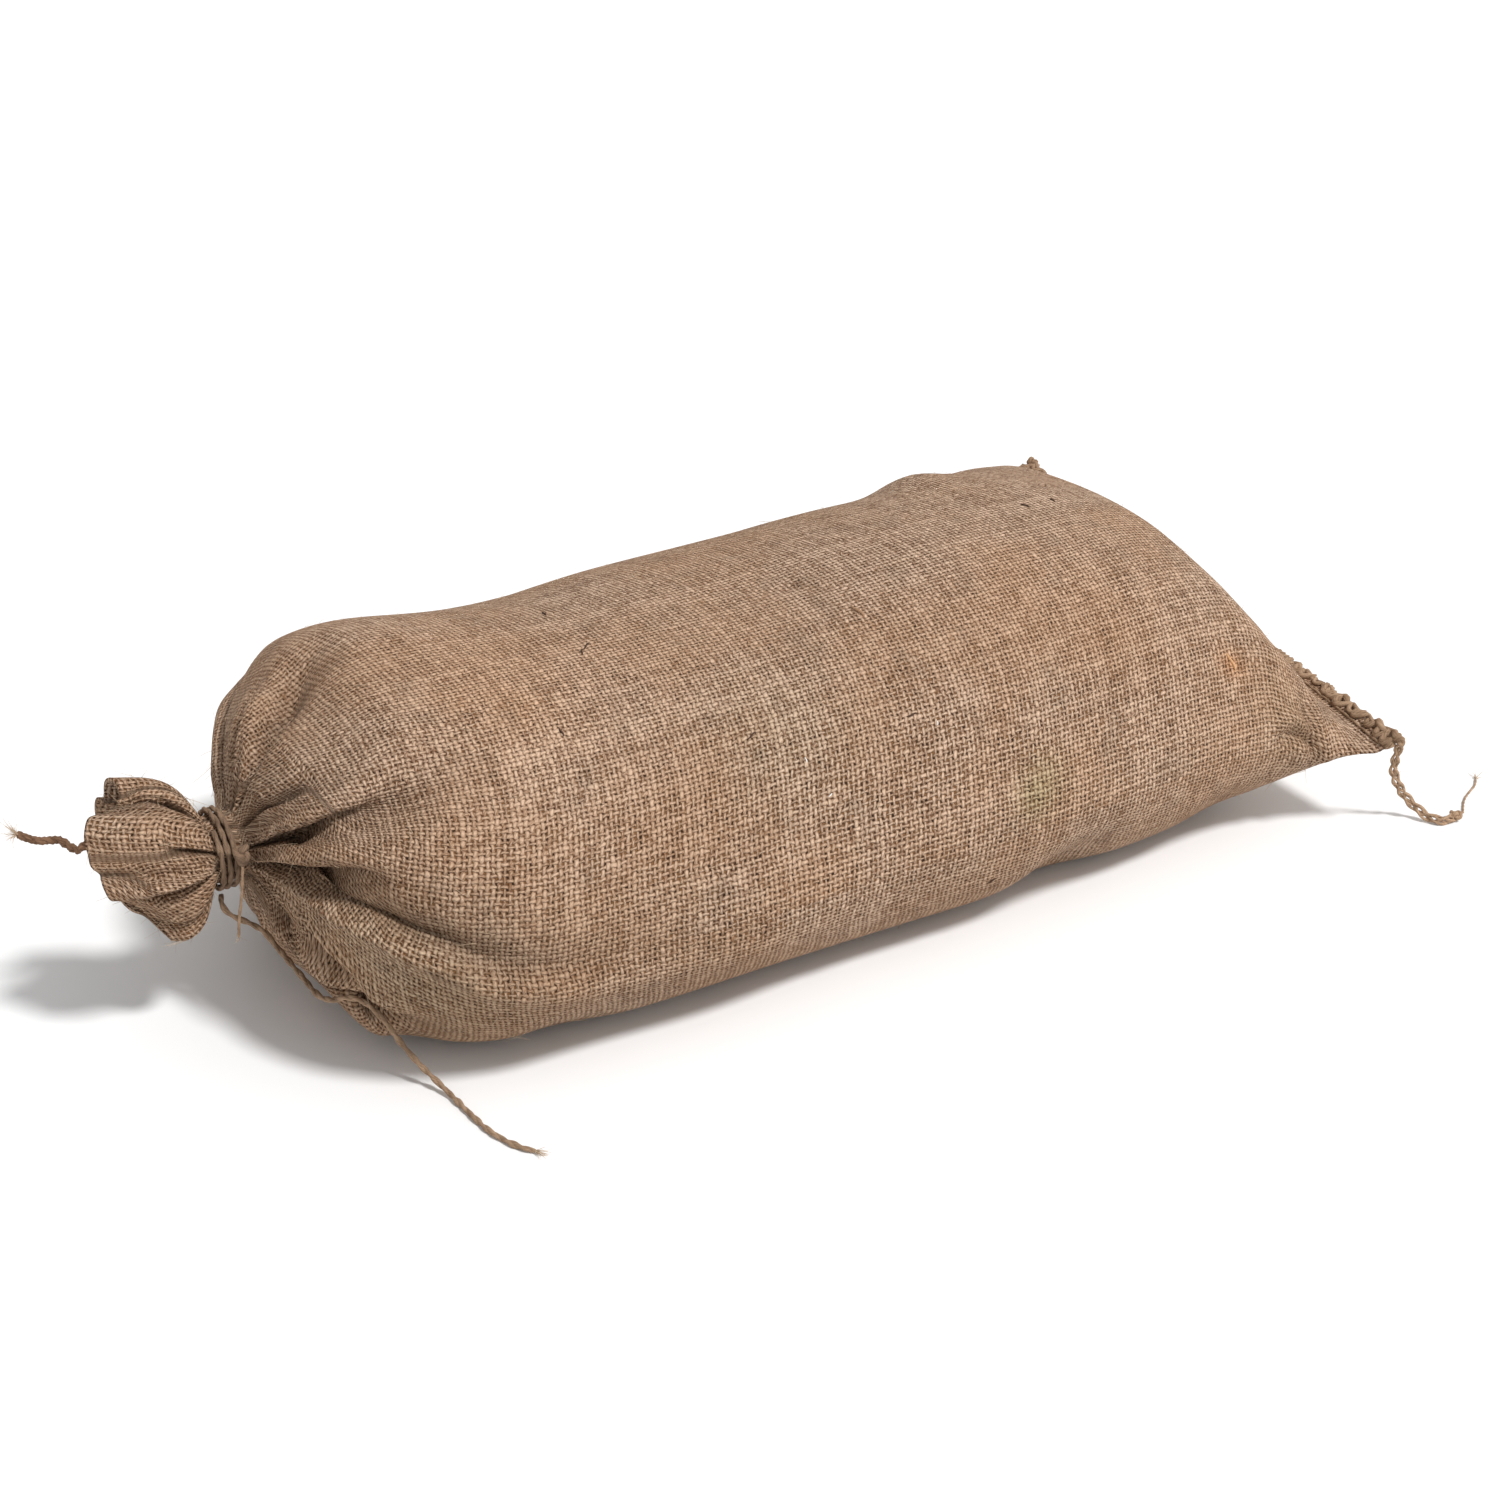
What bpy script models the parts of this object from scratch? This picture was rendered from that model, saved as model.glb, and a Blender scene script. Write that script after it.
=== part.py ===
"""A jute sandbag, filled, tied at its neck with twine and lying on its side.

Metres, +Z up. The bag's length runs along X, from the sewn bottom end at +X to the
tied neck and its frill at -X. Y runs from the front fold edge (-Y) to the sewn back
edge (+Y). The origin is under the middle of the bag, on the surface it lies on.
"""

from collections import namedtuple
from math import cos, pi, radians, sin

import bmesh
import bpy
import numpy as np
from mathutils import Matrix, Vector

# The bag as it was sewn, flat and empty
FLAT_LENGTH = 0.600
FLOOR = 0.0               # what it lies on
# The middle of the bag's box in the tables below, which becomes the origin
ORIGIN = Vector((-0.0133, 0.0181, 0.0))

# The grid of the bag's solid
PANEL_STEPS = 40          # points across each of the two panels
BODY_RINGS = 39           # rings from the sewn end to the neck
RING_CROWDING = 0.055     # how much closer the rings are at both ends
FRILL_RINGS = 9           # rings from the neck to the mouth
GAP = 0.0003              # between pieces that touch

# The neck and its tie
NECK_RADIUS = 0.0125
NECK_HEIGHT = 0.069
NECK_START = 0.529        # along the cloth from the sewn end
NECK_END = 0.545
TWINE = 0.0023            # diameter of the tying twine
TIE_TURNS = 2.6
TIE_PITCH = 0.0026
TIE_START = -0.2173       # x of the first turn
TIE_ANGLE = radians(200)  # where on the neck it starts
TIE_CLEAR = 0.0003        # added to the gap, for the flats of its round shape
TURN_STEPS = 22           # points on a turn
KNOT_SIZE = (0.0040, 0.0026, 0.0048)
KNOT_X = -0.2180
KNOT_Z = 0.0755
KNOT_CLEAR = 0.0007       # between the knot and the turns
KNOT_LOBES = 3
KNOT_LOBE = 0.14          # how far a lobe stands out, as a share
KNOT_TWIST = 0.6

# The frill beyond the tie
FRILL_LENGTH = FLAT_LENGTH - NECK_END
FRILL_TURN = radians(20)  # it bends towards the back
FRILL_LIFT = 0.09         # and a little up
FRILL_BEND_SOON = 1.6     # the bend is finished at 1/1.6 of its length
MOUTH_DEPTH = 0.018       # how deep the mouth's hollow is
MOUTH_LIP = 0.001         # how far the rim's inside lies below its outside
MOUTH_WALL = 0.88         # the inside of the rim, as a share of the outside
MOUTH_FLOOR = 0.69        # the hollow's floor, as a share of the rim

# Sewing
SEAM_TWINE = 0.0032
STITCH_PITCH = 0.0085
STITCH_SWELL = 0.22
STITCH_END = 0.55         # a seam's two ends, as a share of its thickness
SEAM_SIDES = 8
SEAM_REST = 0.0006        # between a seam and the edge it is sewn over
JUTE = ("jute_cloth", (0.40, 0.26, 0.16, 1.0), 0.95)
SEWING = ("sewing_twine", (0.42, 0.27, 0.15, 1.0), 0.90)
TYING = ("tie_twine", (0.33, 0.22, 0.13, 1.0), 0.90)

# Sections of the filled body. "cloth" is the distance along the cloth from the sewn
# end. The front and back edges are the folds between the top and bottom panels. The
# top rises and the bottom drops from the line between them; crown and shoulder set
# how square the top is, belly and haunch the bottom.
Section = namedtuple(
    "Section",
    "cloth x front_y back_y front_z back_z rise drop crown shoulder belly haunch",
)
BODY = [
    Section(0.000, 0.238, -0.112, 0.147, 0.043, 0.062, 0.0012, 0.0012, 2.0, 1.2, 2.0, 1.2),
    Section(0.012, 0.230, -0.108, 0.146, 0.037, 0.060, 0.0080, 0.0070, 2.6, 1.3, 2.6, 1.3),
    Section(0.035, 0.215, -0.102, 0.143, 0.037, 0.056, 0.0340, 0.0240, 2.8, 1.5, 3.2, 1.4),
    Section(0.070, 0.188, -0.098, 0.138, 0.045, 0.058, 0.0590, 0.0480, 2.7, 1.7, 4.0, 1.5),
    Section(0.120, 0.139, -0.103, 0.125, 0.050, 0.056, 0.0650, 0.0560, 2.4, 1.7, 4.2, 1.5),
    Section(0.200, 0.064, -0.110, 0.121, 0.050, 0.053, 0.0690, 0.0545, 2.3, 1.8, 4.5, 1.5),
    Section(0.300, -0.031, -0.110, 0.118, 0.050, 0.052, 0.0680, 0.0540, 2.3, 1.8, 4.5, 1.5),
    Section(0.370, -0.094, -0.111, 0.116, 0.050, 0.052, 0.0680, 0.0540, 2.3, 1.8, 4.5, 1.5),
    Section(0.415, -0.133, -0.111, 0.113, 0.051, 0.053, 0.0680, 0.0540, 2.4, 1.9, 4.2, 1.6),
    Section(0.450, -0.162, -0.106, 0.107, 0.056, 0.056, 0.0640, 0.0570, 2.4, 2.0, 3.6, 1.7),
    Section(0.480, -0.185, -0.093, 0.091, 0.065, 0.060, 0.0500, 0.0580, 2.4, 2.0, 3.2, 1.8),
    Section(0.502, -0.200, -0.069, 0.065, 0.073, 0.064, 0.0370, 0.0500, 2.2, 2.0, 2.6, 1.9),
    Section(0.518, -0.208, -0.040, 0.037, 0.075, 0.067, 0.0240, 0.0340, 2.0, 2.0, 2.0, 2.0),
    Section(0.529, -0.212, -0.0170, 0.0170, 0.070, 0.069, 0.0160, 0.0170, 2.0, 2.0, 2.0, 2.0),
    Section(0.534, -0.215, -0.0125, 0.0125, 0.069, 0.069, 0.0125, 0.0125, 2.0, 2.0, 2.0, 2.0),
    Section(0.545, -0.225, -0.0125, 0.0125, 0.069, 0.069, 0.0125, 0.0125, 2.0, 2.0, 2.0, 2.0),
]

# Folds that run into the neck. "around" is the place on the girth, from the front
# edge (0) over the top to the back edge (0.5) and under to the front (1). "lean" is
# how far the fold moves around for each metre away from the neck, "reach" how far it
# runs into the body, "half" its half width, "deep" and "frill_deep" how deep it is.
Fold = namedtuple("Fold", "around lean reach half deep frill_deep")
FOLDS = [
    Fold(0.055, 1.05, 0.105, 0.019, 0.0110, 0.0050),
    Fold(0.008, 0.60, 0.060, 0.015, 0.0075, 0.0100),
    Fold(0.165, -0.50, 0.040, 0.018, 0.0040, 0.0050),
    Fold(0.255, 0.60, 0.090, 0.024, 0.0070, 0.0060),
    Fold(0.375, 0.10, 0.070, 0.022, 0.0060, 0.0080),
    Fold(0.470, 0.30, 0.075, 0.020, 0.0070, 0.0060),
    Fold(0.565, 0.20, 0.060, 0.020, 0.0060, 0.0090),
    Fold(0.690, -0.10, 0.065, 0.022, 0.0060, 0.0060),
    Fold(0.800, 0.20, 0.050, 0.018, 0.0050, 0.0090),
    Fold(0.868, 0.80, 0.070, 0.014, 0.0140, 0.0130),
]

BODY_PRESS = 10.5         # share of the section's size for each metre of depth
FRILL_PRESS = 22.0
FOLD_PEAK = 0.6           # where along its reach a fold is deepest
FOLD_FADE = 1.2
FOLD_NARROW = 0.35        # a fold's width at the neck, as a share of "half"
FOLD_WIDEN = 1.10         # what is added to it at the far end
FRILL_FADE = 0.8
FRILL_WIDEN = 1.25
DEEPEST = 0.62            # no fold goes further than this towards the middle

# Soft lumps and hollows of the filling: place along the cloth and around the girth,
# their half sizes, and the height, which is negative in a hollow
Lump = namedtuple("Lump", "cloth around half_cloth half_around height")
LUMPS = [
    Lump(0.090, 0.405, 0.030, 0.040, 0.0015),
    Lump(0.140, 0.400, 0.030, 0.040, -0.0010),
    Lump(0.235, 0.060, 0.050, 0.050, 0.0025),
    Lump(0.330, 0.985, 0.040, 0.035, 0.0040),
    Lump(0.270, 0.240, 0.070, 0.080, -0.0022),
    Lump(0.390, 0.160, 0.050, 0.070, 0.0025),
    Lump(0.175, 0.260, 0.050, 0.090, 0.0018),
    Lump(0.300, 0.440, 0.060, 0.050, 0.0030),
    Lump(0.440, 0.420, 0.040, 0.050, 0.0035),
    Lump(0.435, 0.320, 0.035, 0.070, 0.0050),
    Lump(0.490, 0.870, 0.020, 0.030, 0.0080),
]

SMALLEST_SPOKE = 0.02     # lumps fade where the section is smaller than this

# The frill's rim: how far it reaches beyond the tie, from the front edge around
FRILL_REACH = [(0.00, 0.038), (0.06, 0.041), (0.13, 0.039), (0.19, 0.029), (0.25, 0.027),
               (0.35, 0.034), (0.50, 0.040), (0.62, 0.034), (0.75, 0.016), (0.82, 0.014),
               (0.88, 0.018), (0.95, 0.031), (1.00, 0.038)]
FRILL_UP = 0.0185         # how far it flares above the neck
FRILL_DOWN = 0.0225       # below it
FRILL_ASIDE = 0.0060      # and to the front and the back
FRILL_EASE = 4.0          # how soon it flares

# Routes of the loose ends, chosen by eye
LONG_END = [
    (-0.2222, -0.0040, 0.0521), (-0.2230, -0.0060, 0.0498), (-0.2224, -0.0088, 0.0474),
    (-0.2200, -0.0108, 0.0453), (-0.2165, -0.0120, 0.0430), (-0.2132, -0.0124, 0.0402),
    (-0.2102, -0.0128, 0.0368), (-0.2080, -0.0152, 0.0330), (-0.2061, -0.0215, 0.0296),
    (-0.2043, -0.0320, 0.0266), (-0.2030, -0.0440, 0.0250), (-0.2014, -0.0535, 0.0280),
    (-0.1985, -0.0592, 0.0313), (-0.1950, -0.0642, 0.0318), (-0.1920, -0.0678, 0.0292),
    (-0.1891, -0.0704, 0.0247), (-0.1871, -0.0724, 0.0207), (-0.1852, -0.0740, 0.0166),
    (-0.1826, -0.0769, 0.0120), (-0.1801, -0.0802, 0.0080), (-0.1777, -0.0838, 0.0048),
    (-0.1754, -0.0900, 0.0022), (-0.1742, -0.0980, 0.0013), (-0.1735, -0.1064, 0.0012),
    (-0.1719, -0.1190, 0.0012), (-0.1680, -0.1300, 0.0012), (-0.1636, -0.1365, 0.0012),
]
SHORT_END = [
    (-0.2180, -0.0188, 0.0706), (-0.2184, -0.0188, 0.0660), (-0.2189, -0.0185, 0.0610),
    (-0.2194, -0.0178, 0.0560), (-0.2200, -0.0168, 0.0510), (-0.2206, -0.0160, 0.0450),
    (-0.2210, -0.0155, 0.0398),
]
SHORT_TWINE = 0.0012
SEAM_TAIL = [
    (0.2404, -0.1116, 0.0404), (0.2412, -0.1094, 0.0350), (0.2426, -0.1072, 0.0290),
    (0.2440, -0.1060, 0.0235), (0.2475, -0.1060, 0.0165), (0.2520, -0.1065, 0.0100),
    (0.2560, -0.1100, 0.0050), (0.2583, -0.1145, 0.0026), (0.2610, -0.1180, 0.0021),
    (0.2650, -0.1195, 0.0021), (0.2695, -0.1185, 0.0021),
]
TAIL_TWINE = 0.0038
SEAM_STRAND = [
    (0.2701, -0.1183, 0.0016), (0.2750, -0.1168, 0.0009), (0.2790, -0.1130, 0.0007),
    (0.2825, -0.1095, 0.0007), (0.2870, -0.1062, 0.0007), (0.2925, -0.1032, 0.0007),
    (0.2972, -0.1005, 0.0007), (0.3017, -0.0962, 0.0007),
]
STRAND_TWINE = 0.0010
MOUTH_TAIL = [
    (-0.2584, 0.0268, 0.0702), (-0.2600, 0.0266, 0.0692), (-0.2618, 0.0260, 0.0680),
    (-0.2643, 0.0250, 0.0682), (-0.2668, 0.0245, 0.0705), (-0.2700, 0.0245, 0.0740),
    (-0.2735, 0.0250, 0.0748), (-0.2772, 0.0258, 0.0752), (-0.2808, 0.0268, 0.0768),
    (-0.2838, 0.0275, 0.0788),
]
MOUTH_TWINE = 0.0032


def clear_scene():
    for item in list(bpy.data.objects):
        bpy.data.objects.remove(item, do_unlink=True)


def make_material(kind):
    name, colour, roughness = kind
    material = bpy.data.materials.get(name)
    if material is None:
        material = bpy.data.materials.new(name)
        material.use_nodes = True
        shader = material.node_tree.nodes["Principled BSDF"]
        shader.inputs["Base Color"].default_value = colour
        shader.inputs["Roughness"].default_value = roughness
        shader.inputs["Metallic"].default_value = 0.0
    return material


def add_object(name, data, kind, collection):
    data.materials.append(make_material(kind))
    data.transform(Matrix.Translation(-ORIGIN))
    item = bpy.data.objects.new(name, data)
    collection.objects.link(item)
    return item


def curve_value(places, values, place):
    """A smooth curve through the rows of a table that never overshoots them."""
    places = np.asarray(places, float)
    values = np.asarray(values, float)
    step = np.diff(places)
    slope = np.diff(values) / step
    tangent = np.zeros(len(places))
    tangent[0] = slope[0]
    tangent[-1] = slope[-1]
    for i in range(1, len(places) - 1):
        if slope[i - 1] * slope[i] > 0:
            left = 2 * step[i] + step[i - 1]
            right = step[i] + 2 * step[i - 1]
            tangent[i] = (left + right) / (left / slope[i - 1] + right / slope[i])
    i = int(np.clip(np.searchsorted(places, place) - 1, 0, len(step) - 1))
    t = (place - places[i]) / step[i]
    return (
        (1 + 2 * t) * (1 - t) ** 2 * values[i]
        + t * (1 - t) ** 2 * step[i] * tangent[i]
        + t * t * (3 - 2 * t) * values[i + 1]
        + t * t * (t - 1) * step[i] * tangent[i + 1]
    )


def body_section(cloth):
    places = [row.cloth for row in BODY]
    return Section(*(curve_value(places, column, cloth) for column in zip(*BODY)))


def evenly(points, count):
    """The same line with its points spread evenly along it."""
    along = np.r_[0, np.cumsum(np.linalg.norm(np.diff(points, axis=0), axis=1))]
    at = np.linspace(0, along[-1], count)
    return np.column_stack([np.interp(at, along, column) for column in points.T])


def body_ring(cloth):
    """One closed ring: the top panel front to back, then the bottom one back to front."""
    row = body_section(cloth)
    t = np.sin(np.linspace(-pi / 2, pi / 2, 161))
    y = (row.front_y + row.back_y) / 2 + t * (row.back_y - row.front_y) / 2
    line = (row.front_z + row.back_z) / 2 + t * (row.back_z - row.front_z) / 2
    side = np.abs(t)
    top = line + row.rise * np.maximum(1 - side**row.crown, 0) ** (1 / row.shoulder)
    low = line - row.drop * np.maximum(1 - side**row.belly, 0) ** (1 / row.haunch)
    upper = evenly(np.column_stack([y, top]), PANEL_STEPS + 1)[:-1]
    lower = evenly(np.column_stack([y, low])[::-1], PANEL_STEPS + 1)[:-1]
    ring = np.vstack([upper, lower])
    return np.column_stack([np.full(len(ring), row.x), ring])


def frill_frame(share):
    """Middle of the frill at a share of its length, and the way it points there."""
    middle = Vector((BODY[-1].x, 0.0, NECK_HEIGHT))
    steps = 12
    for i in range(steps):
        bend = FRILL_TURN * min(1.0, FRILL_BEND_SOON * share * (i + 0.5) / steps)
        ahead = Vector((-cos(bend), sin(bend), FRILL_LIFT)).normalized()
        middle += ahead * (FRILL_REACH[0][1] * share / steps)
    bend = FRILL_TURN * min(1.0, FRILL_BEND_SOON * share)
    return middle, Vector((-cos(bend), sin(bend), FRILL_LIFT)).normalized()


def frill_ring(share):
    middle, ahead = frill_frame(share)
    side = Vector((ahead.y, -ahead.x, 0.0)).normalized()
    reach_places, reach_values = zip(*FRILL_REACH)
    flare = 1 - (1 - share) ** FRILL_EASE
    ring = []
    for j in range(2 * PANEL_STEPS):
        around = j / (2 * PANEL_STEPS)
        angle = 2 * pi * around
        beyond = share * (curve_value(reach_places, reach_values, around) - FRILL_REACH[0][1])
        high = NECK_RADIUS + flare * (FRILL_UP if sin(angle) > 0 else FRILL_DOWN)
        wide = NECK_RADIUS + flare * FRILL_ASIDE
        up = Vector((0, 0, high * sin(angle)))
        ring.append(middle + ahead * beyond + up - side * wide * cos(angle))
    return np.array(ring)


def wrapped(distance):
    """Distance around the girth, the short way."""
    return (distance + 0.5) % 1.0 - 0.5


def bell(x):
    return np.exp(-(x**2))


def fold_depth(cloth, around):
    """Share of the way to the section's middle that the folds push a point in."""
    total = 0.0
    for fold in FOLDS:
        away = NECK_START - cloth
        if away > 0:
            if away > fold.reach:
                continue
            run = away / fold.reach
            centre = fold.around + fold.lean * away
            strength = fold.deep * BODY_PRESS * sin(pi * run**FOLD_PEAK) ** FOLD_FADE
            width = fold.half * (FOLD_NARROW + FOLD_WIDEN * run)
        else:
            run = min(1.0, -away / (FLAT_LENGTH - NECK_START))
            centre = fold.around
            strength = fold.frill_deep * FRILL_PRESS * run**FRILL_FADE
            width = fold.half * FRILL_WIDEN
        total += strength * bell(wrapped(around - centre) / width)
    return min(total, DEEPEST)


def lump_height(cloth, around):
    total = 0.0
    for lump in LUMPS:
        along = (cloth - lump.cloth) / lump.half_cloth
        across = wrapped(around - lump.around) / lump.half_around
        total += lump.height * bell(along) * bell(across)
    return total


def shaped(ring, cloth):
    """Presses the folds and lumps into a ring and flattens it where it rests."""
    middle = ring.mean(axis=0)
    out = []
    for j, point in enumerate(ring):
        around = j / len(ring)
        spoke = point - middle
        reach = np.linalg.norm(spoke)
        lump = lump_height(cloth, around) / max(reach, SMALLEST_SPOKE)
        moved = middle + spoke * (1 - fold_depth(cloth, around) + lump)
        moved[2] = max(moved[2], FLOOR)
        out.append(moved)
    return np.array(out)


def bag_rings():
    rings = []
    for i in range(BODY_RINGS):
        # rings crowd towards both ends, where the cloth turns fastest
        t = i / (BODY_RINGS - 1)
        cloth = NECK_END * (t - RING_CROWDING * sin(2 * pi * t))
        rings.append(shaped(body_ring(cloth), cloth))
    for i in range(1, FRILL_RINGS + 1):
        share = i / FRILL_RINGS
        rings.append(shaped(frill_ring(share), NECK_END + share * FRILL_LENGTH))
    rim = rings[-1]
    middle, ahead = frill_frame(1.0)
    for share, depth in ((MOUTH_WALL, MOUTH_LIP), (MOUTH_FLOOR, MOUTH_DEPTH)):
        centre = rim.mean(axis=0)
        rings.append(centre + (rim - centre) * share - np.array(ahead) * depth)
    return rings


def loft(name, rings, kind, collection, slot_start=False):
    """A closed solid through rings of equal size, with its ends filled in."""
    shape = bmesh.new()
    rows = [[shape.verts.new(point) for point in ring] for ring in rings]
    count = len(rows[0])
    for low, high in zip(rows, rows[1:]):
        for j in range(count):
            k = (j + 1) % count
            shape.faces.new((low[j], low[k], high[k], high[j]))
    if slot_start:
        # the sewn edge is a narrow slot: join its two sides point to point
        first = rows[0]
        half = count // 2
        shape.faces.new((first[0], first[1], first[count - 1]))
        shape.faces.new((first[half], first[half - 1], first[half + 1]))
        for j in range(1, half - 1):
            shape.faces.new((first[j], first[j + 1], first[count - j - 1], first[count - j]))
    else:
        fan(shape, rows[0])
    fan(shape, rows[-1])
    bmesh.ops.triangulate(shape, faces=shape.faces[:])
    bmesh.ops.recalc_face_normals(shape, faces=shape.faces[:])
    mesh = bpy.data.meshes.new(name)
    shape.to_mesh(mesh)
    shape.free()
    mesh.shade_smooth()
    return add_object(name, mesh, kind, collection)


def fan(shape, row):
    middle = sum((vert.co for vert in row), Vector()) / len(row)
    hub = shape.verts.new(middle)
    for j in range(len(row)):
        shape.faces.new((row[j], row[(j + 1) % len(row)], hub))


def smooth_route(points, spacing):
    """Points read from a smooth curve through a route's own points."""
    points = [Vector(point) for point in points]
    ends = [2 * points[0] - points[1]] + points + [2 * points[-1] - points[-2]]
    dense = []
    for a, b, c, d in zip(ends, ends[1:], ends[2:], ends[3:]):
        for k in range(10):
            t = k / 10
            dense.append(
                0.5 * (2 * b + (c - a) * t + (2 * a - 5 * b + 4 * c - d) * t**2
                       + (3 * b - a - 3 * c + d) * t**3)
            )
    dense.append(points[-1])
    dense = np.array(dense)
    length = np.linalg.norm(np.diff(dense, axis=0), axis=1).sum()
    return evenly(dense, max(3, int(round(length / spacing)) + 1))


def cord(name, points, diameter, kind, collection, spacing=None):
    """A round tube with filled ends along a route."""
    route = smooth_route(points, spacing or 2.5 * diameter)
    curve = bpy.data.curves.new(name, "CURVE")
    curve.dimensions = "3D"
    curve.bevel_depth = diameter / 2
    curve.bevel_resolution = 2
    curve.use_fill_caps = True
    spline = curve.splines.new("POLY")
    spline.points.add(len(route) - 1)
    for knot, point in zip(spline.points, route):
        knot.co = (*point, 1.0)
    return add_object(name, curve, kind, collection)


def tie_route():
    """The turns of twine around the neck."""
    radius = NECK_RADIUS + TWINE / 2 + GAP + TIE_CLEAR
    steps = int(TIE_TURNS * TURN_STEPS)
    route = []
    for i in range(steps + 1):
        turn = TIE_TURNS * i / steps
        angle = 2 * pi * turn + TIE_ANGLE
        route.append((
            TIE_START - TIE_PITCH * turn,
            -radius * cos(angle),
            NECK_HEIGHT + radius * sin(angle),
        ))
    return route


def make_knot(collection):
    """The tie's knot, a small three-lobed lump against the turns."""
    shape = bmesh.new()
    bmesh.ops.create_uvsphere(shape, u_segments=14, v_segments=9, radius=1.0)
    clear = NECK_RADIUS + TWINE + GAP + KNOT_CLEAR
    centre = Vector((KNOT_X, -(clear + KNOT_SIZE[1]), KNOT_Z))
    for vert in shape.verts:
        angle = np.arctan2(vert.co.z, vert.co.x)
        swell = 1 + KNOT_LOBE * cos(KNOT_LOBES * angle + KNOT_TWIST)
        vert.co = centre + Vector(vert.co[k] * KNOT_SIZE[k] * swell for k in range(3))
    mesh = bpy.data.meshes.new("tie_knot")
    bmesh.ops.recalc_face_normals(shape, faces=shape.faces[:])
    shape.to_mesh(mesh)
    shape.free()
    mesh.shade_smooth()
    return add_object("tie_knot", mesh, TYING, collection)


def stitched_edge(name, edge, outward, collection):
    """Twine sewn over an edge: a rope that swells at each stitch."""
    radius = SEAM_TWINE / 2
    rings = []
    travelled = 0.0
    for i, point in enumerate(edge):
        ahead = Vector(edge[min(i + 1, len(edge) - 1)]) - Vector(edge[max(i - 1, 0)])
        ahead.normalize()
        if i:
            travelled += (Vector(point) - Vector(edge[i - 1])).length
        out = Vector(outward[i])
        out = (out - ahead * out.dot(ahead)).normalized()
        up = ahead.cross(out)
        swell = 1 + STITCH_SWELL * sin(2 * pi * travelled / STITCH_PITCH)
        taper = STITCH_END if i in (0, len(edge) - 1) else 1.0
        size = radius * swell * taper
        centre = Vector(point) + out * (radius * (1 + STITCH_SWELL) + SEAM_REST)
        turns = [2 * pi * k / SEAM_SIDES for k in range(SEAM_SIDES)]
        rings.append(np.array([centre + (out * cos(a) + up * sin(a)) * size for a in turns]))
    return loft(name, rings, SEWING, collection)


def seam_lines(rings):
    """The sewn bottom edge, from the front corner to the back one, and the back edge."""
    half = PANEL_STEPS
    first = rings[0]
    bottom = [
        (first[j] + first[(2 * half - j) % (2 * half)]) / 2 for j in range(half + 1)
    ]
    back = [ring[half] for ring in rings[: BODY_RINGS - 5]]
    return np.array(bottom), np.array(back)


def build():
    clear_scene()
    collection = bpy.data.collections.new("sandbag")
    bpy.context.scene.collection.children.link(collection)

    rings = bag_rings()
    loft("bag", rings, JUTE, collection, slot_start=True)

    bottom, back = seam_lines(rings)
    spacing = STITCH_PITCH / 3
    length = np.linalg.norm(np.diff(bottom, axis=0), axis=1).sum()
    edge = evenly(bottom, int(length / spacing))
    stitched_edge("bottom_seam", edge, [(1.0, 0.0, 0.0)] * len(edge), collection)
    length = np.linalg.norm(np.diff(back, axis=0), axis=1).sum()
    edge = evenly(back, int(length / spacing))
    stitched_edge("side_seam", edge[3:], [(-0.15, 1.0, 0.0)] * len(edge[3:]), collection)

    cord("neck_tie", tie_route(), TWINE, TYING, collection, spacing=0.0042)
    make_knot(collection)
    cord("tie_long_end", LONG_END, TWINE, TYING, collection)
    cord("tie_short_end", SHORT_END, SHORT_TWINE, TYING, collection, spacing=0.003)
    cord("seam_tail", SEAM_TAIL, TAIL_TWINE, SEWING, collection, spacing=0.006)
    cord("seam_strand", SEAM_STRAND, STRAND_TWINE, SEWING, collection, spacing=0.003)
    cord("mouth_tail", MOUTH_TAIL, MOUTH_TWINE, SEWING, collection, spacing=0.005)


build()
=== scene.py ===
"""Looks for the jute sandbag: its woven cloth, twines, seams and loose fibres."""

from collections import namedtuple
from math import cos, pi, radians, sin, tan

import bpy
import numpy as np
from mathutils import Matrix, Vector


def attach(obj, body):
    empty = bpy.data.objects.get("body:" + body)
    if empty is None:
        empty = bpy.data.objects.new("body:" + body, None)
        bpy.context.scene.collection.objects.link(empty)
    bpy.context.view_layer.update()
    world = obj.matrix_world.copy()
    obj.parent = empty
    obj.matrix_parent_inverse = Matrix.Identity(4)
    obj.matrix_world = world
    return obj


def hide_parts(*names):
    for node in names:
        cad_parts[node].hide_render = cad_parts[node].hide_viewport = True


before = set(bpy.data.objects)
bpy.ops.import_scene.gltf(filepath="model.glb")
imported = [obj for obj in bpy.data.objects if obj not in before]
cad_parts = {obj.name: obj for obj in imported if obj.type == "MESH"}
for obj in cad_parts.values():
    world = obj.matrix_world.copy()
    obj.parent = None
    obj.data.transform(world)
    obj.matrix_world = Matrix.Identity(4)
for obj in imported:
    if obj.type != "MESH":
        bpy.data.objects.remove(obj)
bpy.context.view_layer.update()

# Sizes that are the same as the solids'
ORIGIN = np.array((-0.0133, 0.0181, 0.0))
FLOOR = 0.0
FLAT_LENGTH = 0.600
GIRTH = 0.600
NECK_RADIUS = 0.0125
NECK_HEIGHT = 0.069
NECK_START = 0.529
NECK_END = 0.545
TWINE = 0.0023
TIE_TURNS = 2.6
TIE_PITCH = 0.0026
TIE_START = -0.2173
TIE_ANGLE = radians(200)
TIE_CLEAR = 0.0006
KNOT_PLACE = (-0.2180, -0.0191, 0.0755)
TIE_MIDDLE = (NECK_START + NECK_END) / 2 + 0.002
FRILL_LENGTH = FLAT_LENGTH - NECK_END
FRILL_TURN = radians(20)
FRILL_LIFT = 0.09
FRILL_BEND_SOON = 1.6
FRILL_UP = 0.0185
FRILL_DOWN = 0.0225
FRILL_ASIDE = 0.0060
FRILL_EASE = 4.0
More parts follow.
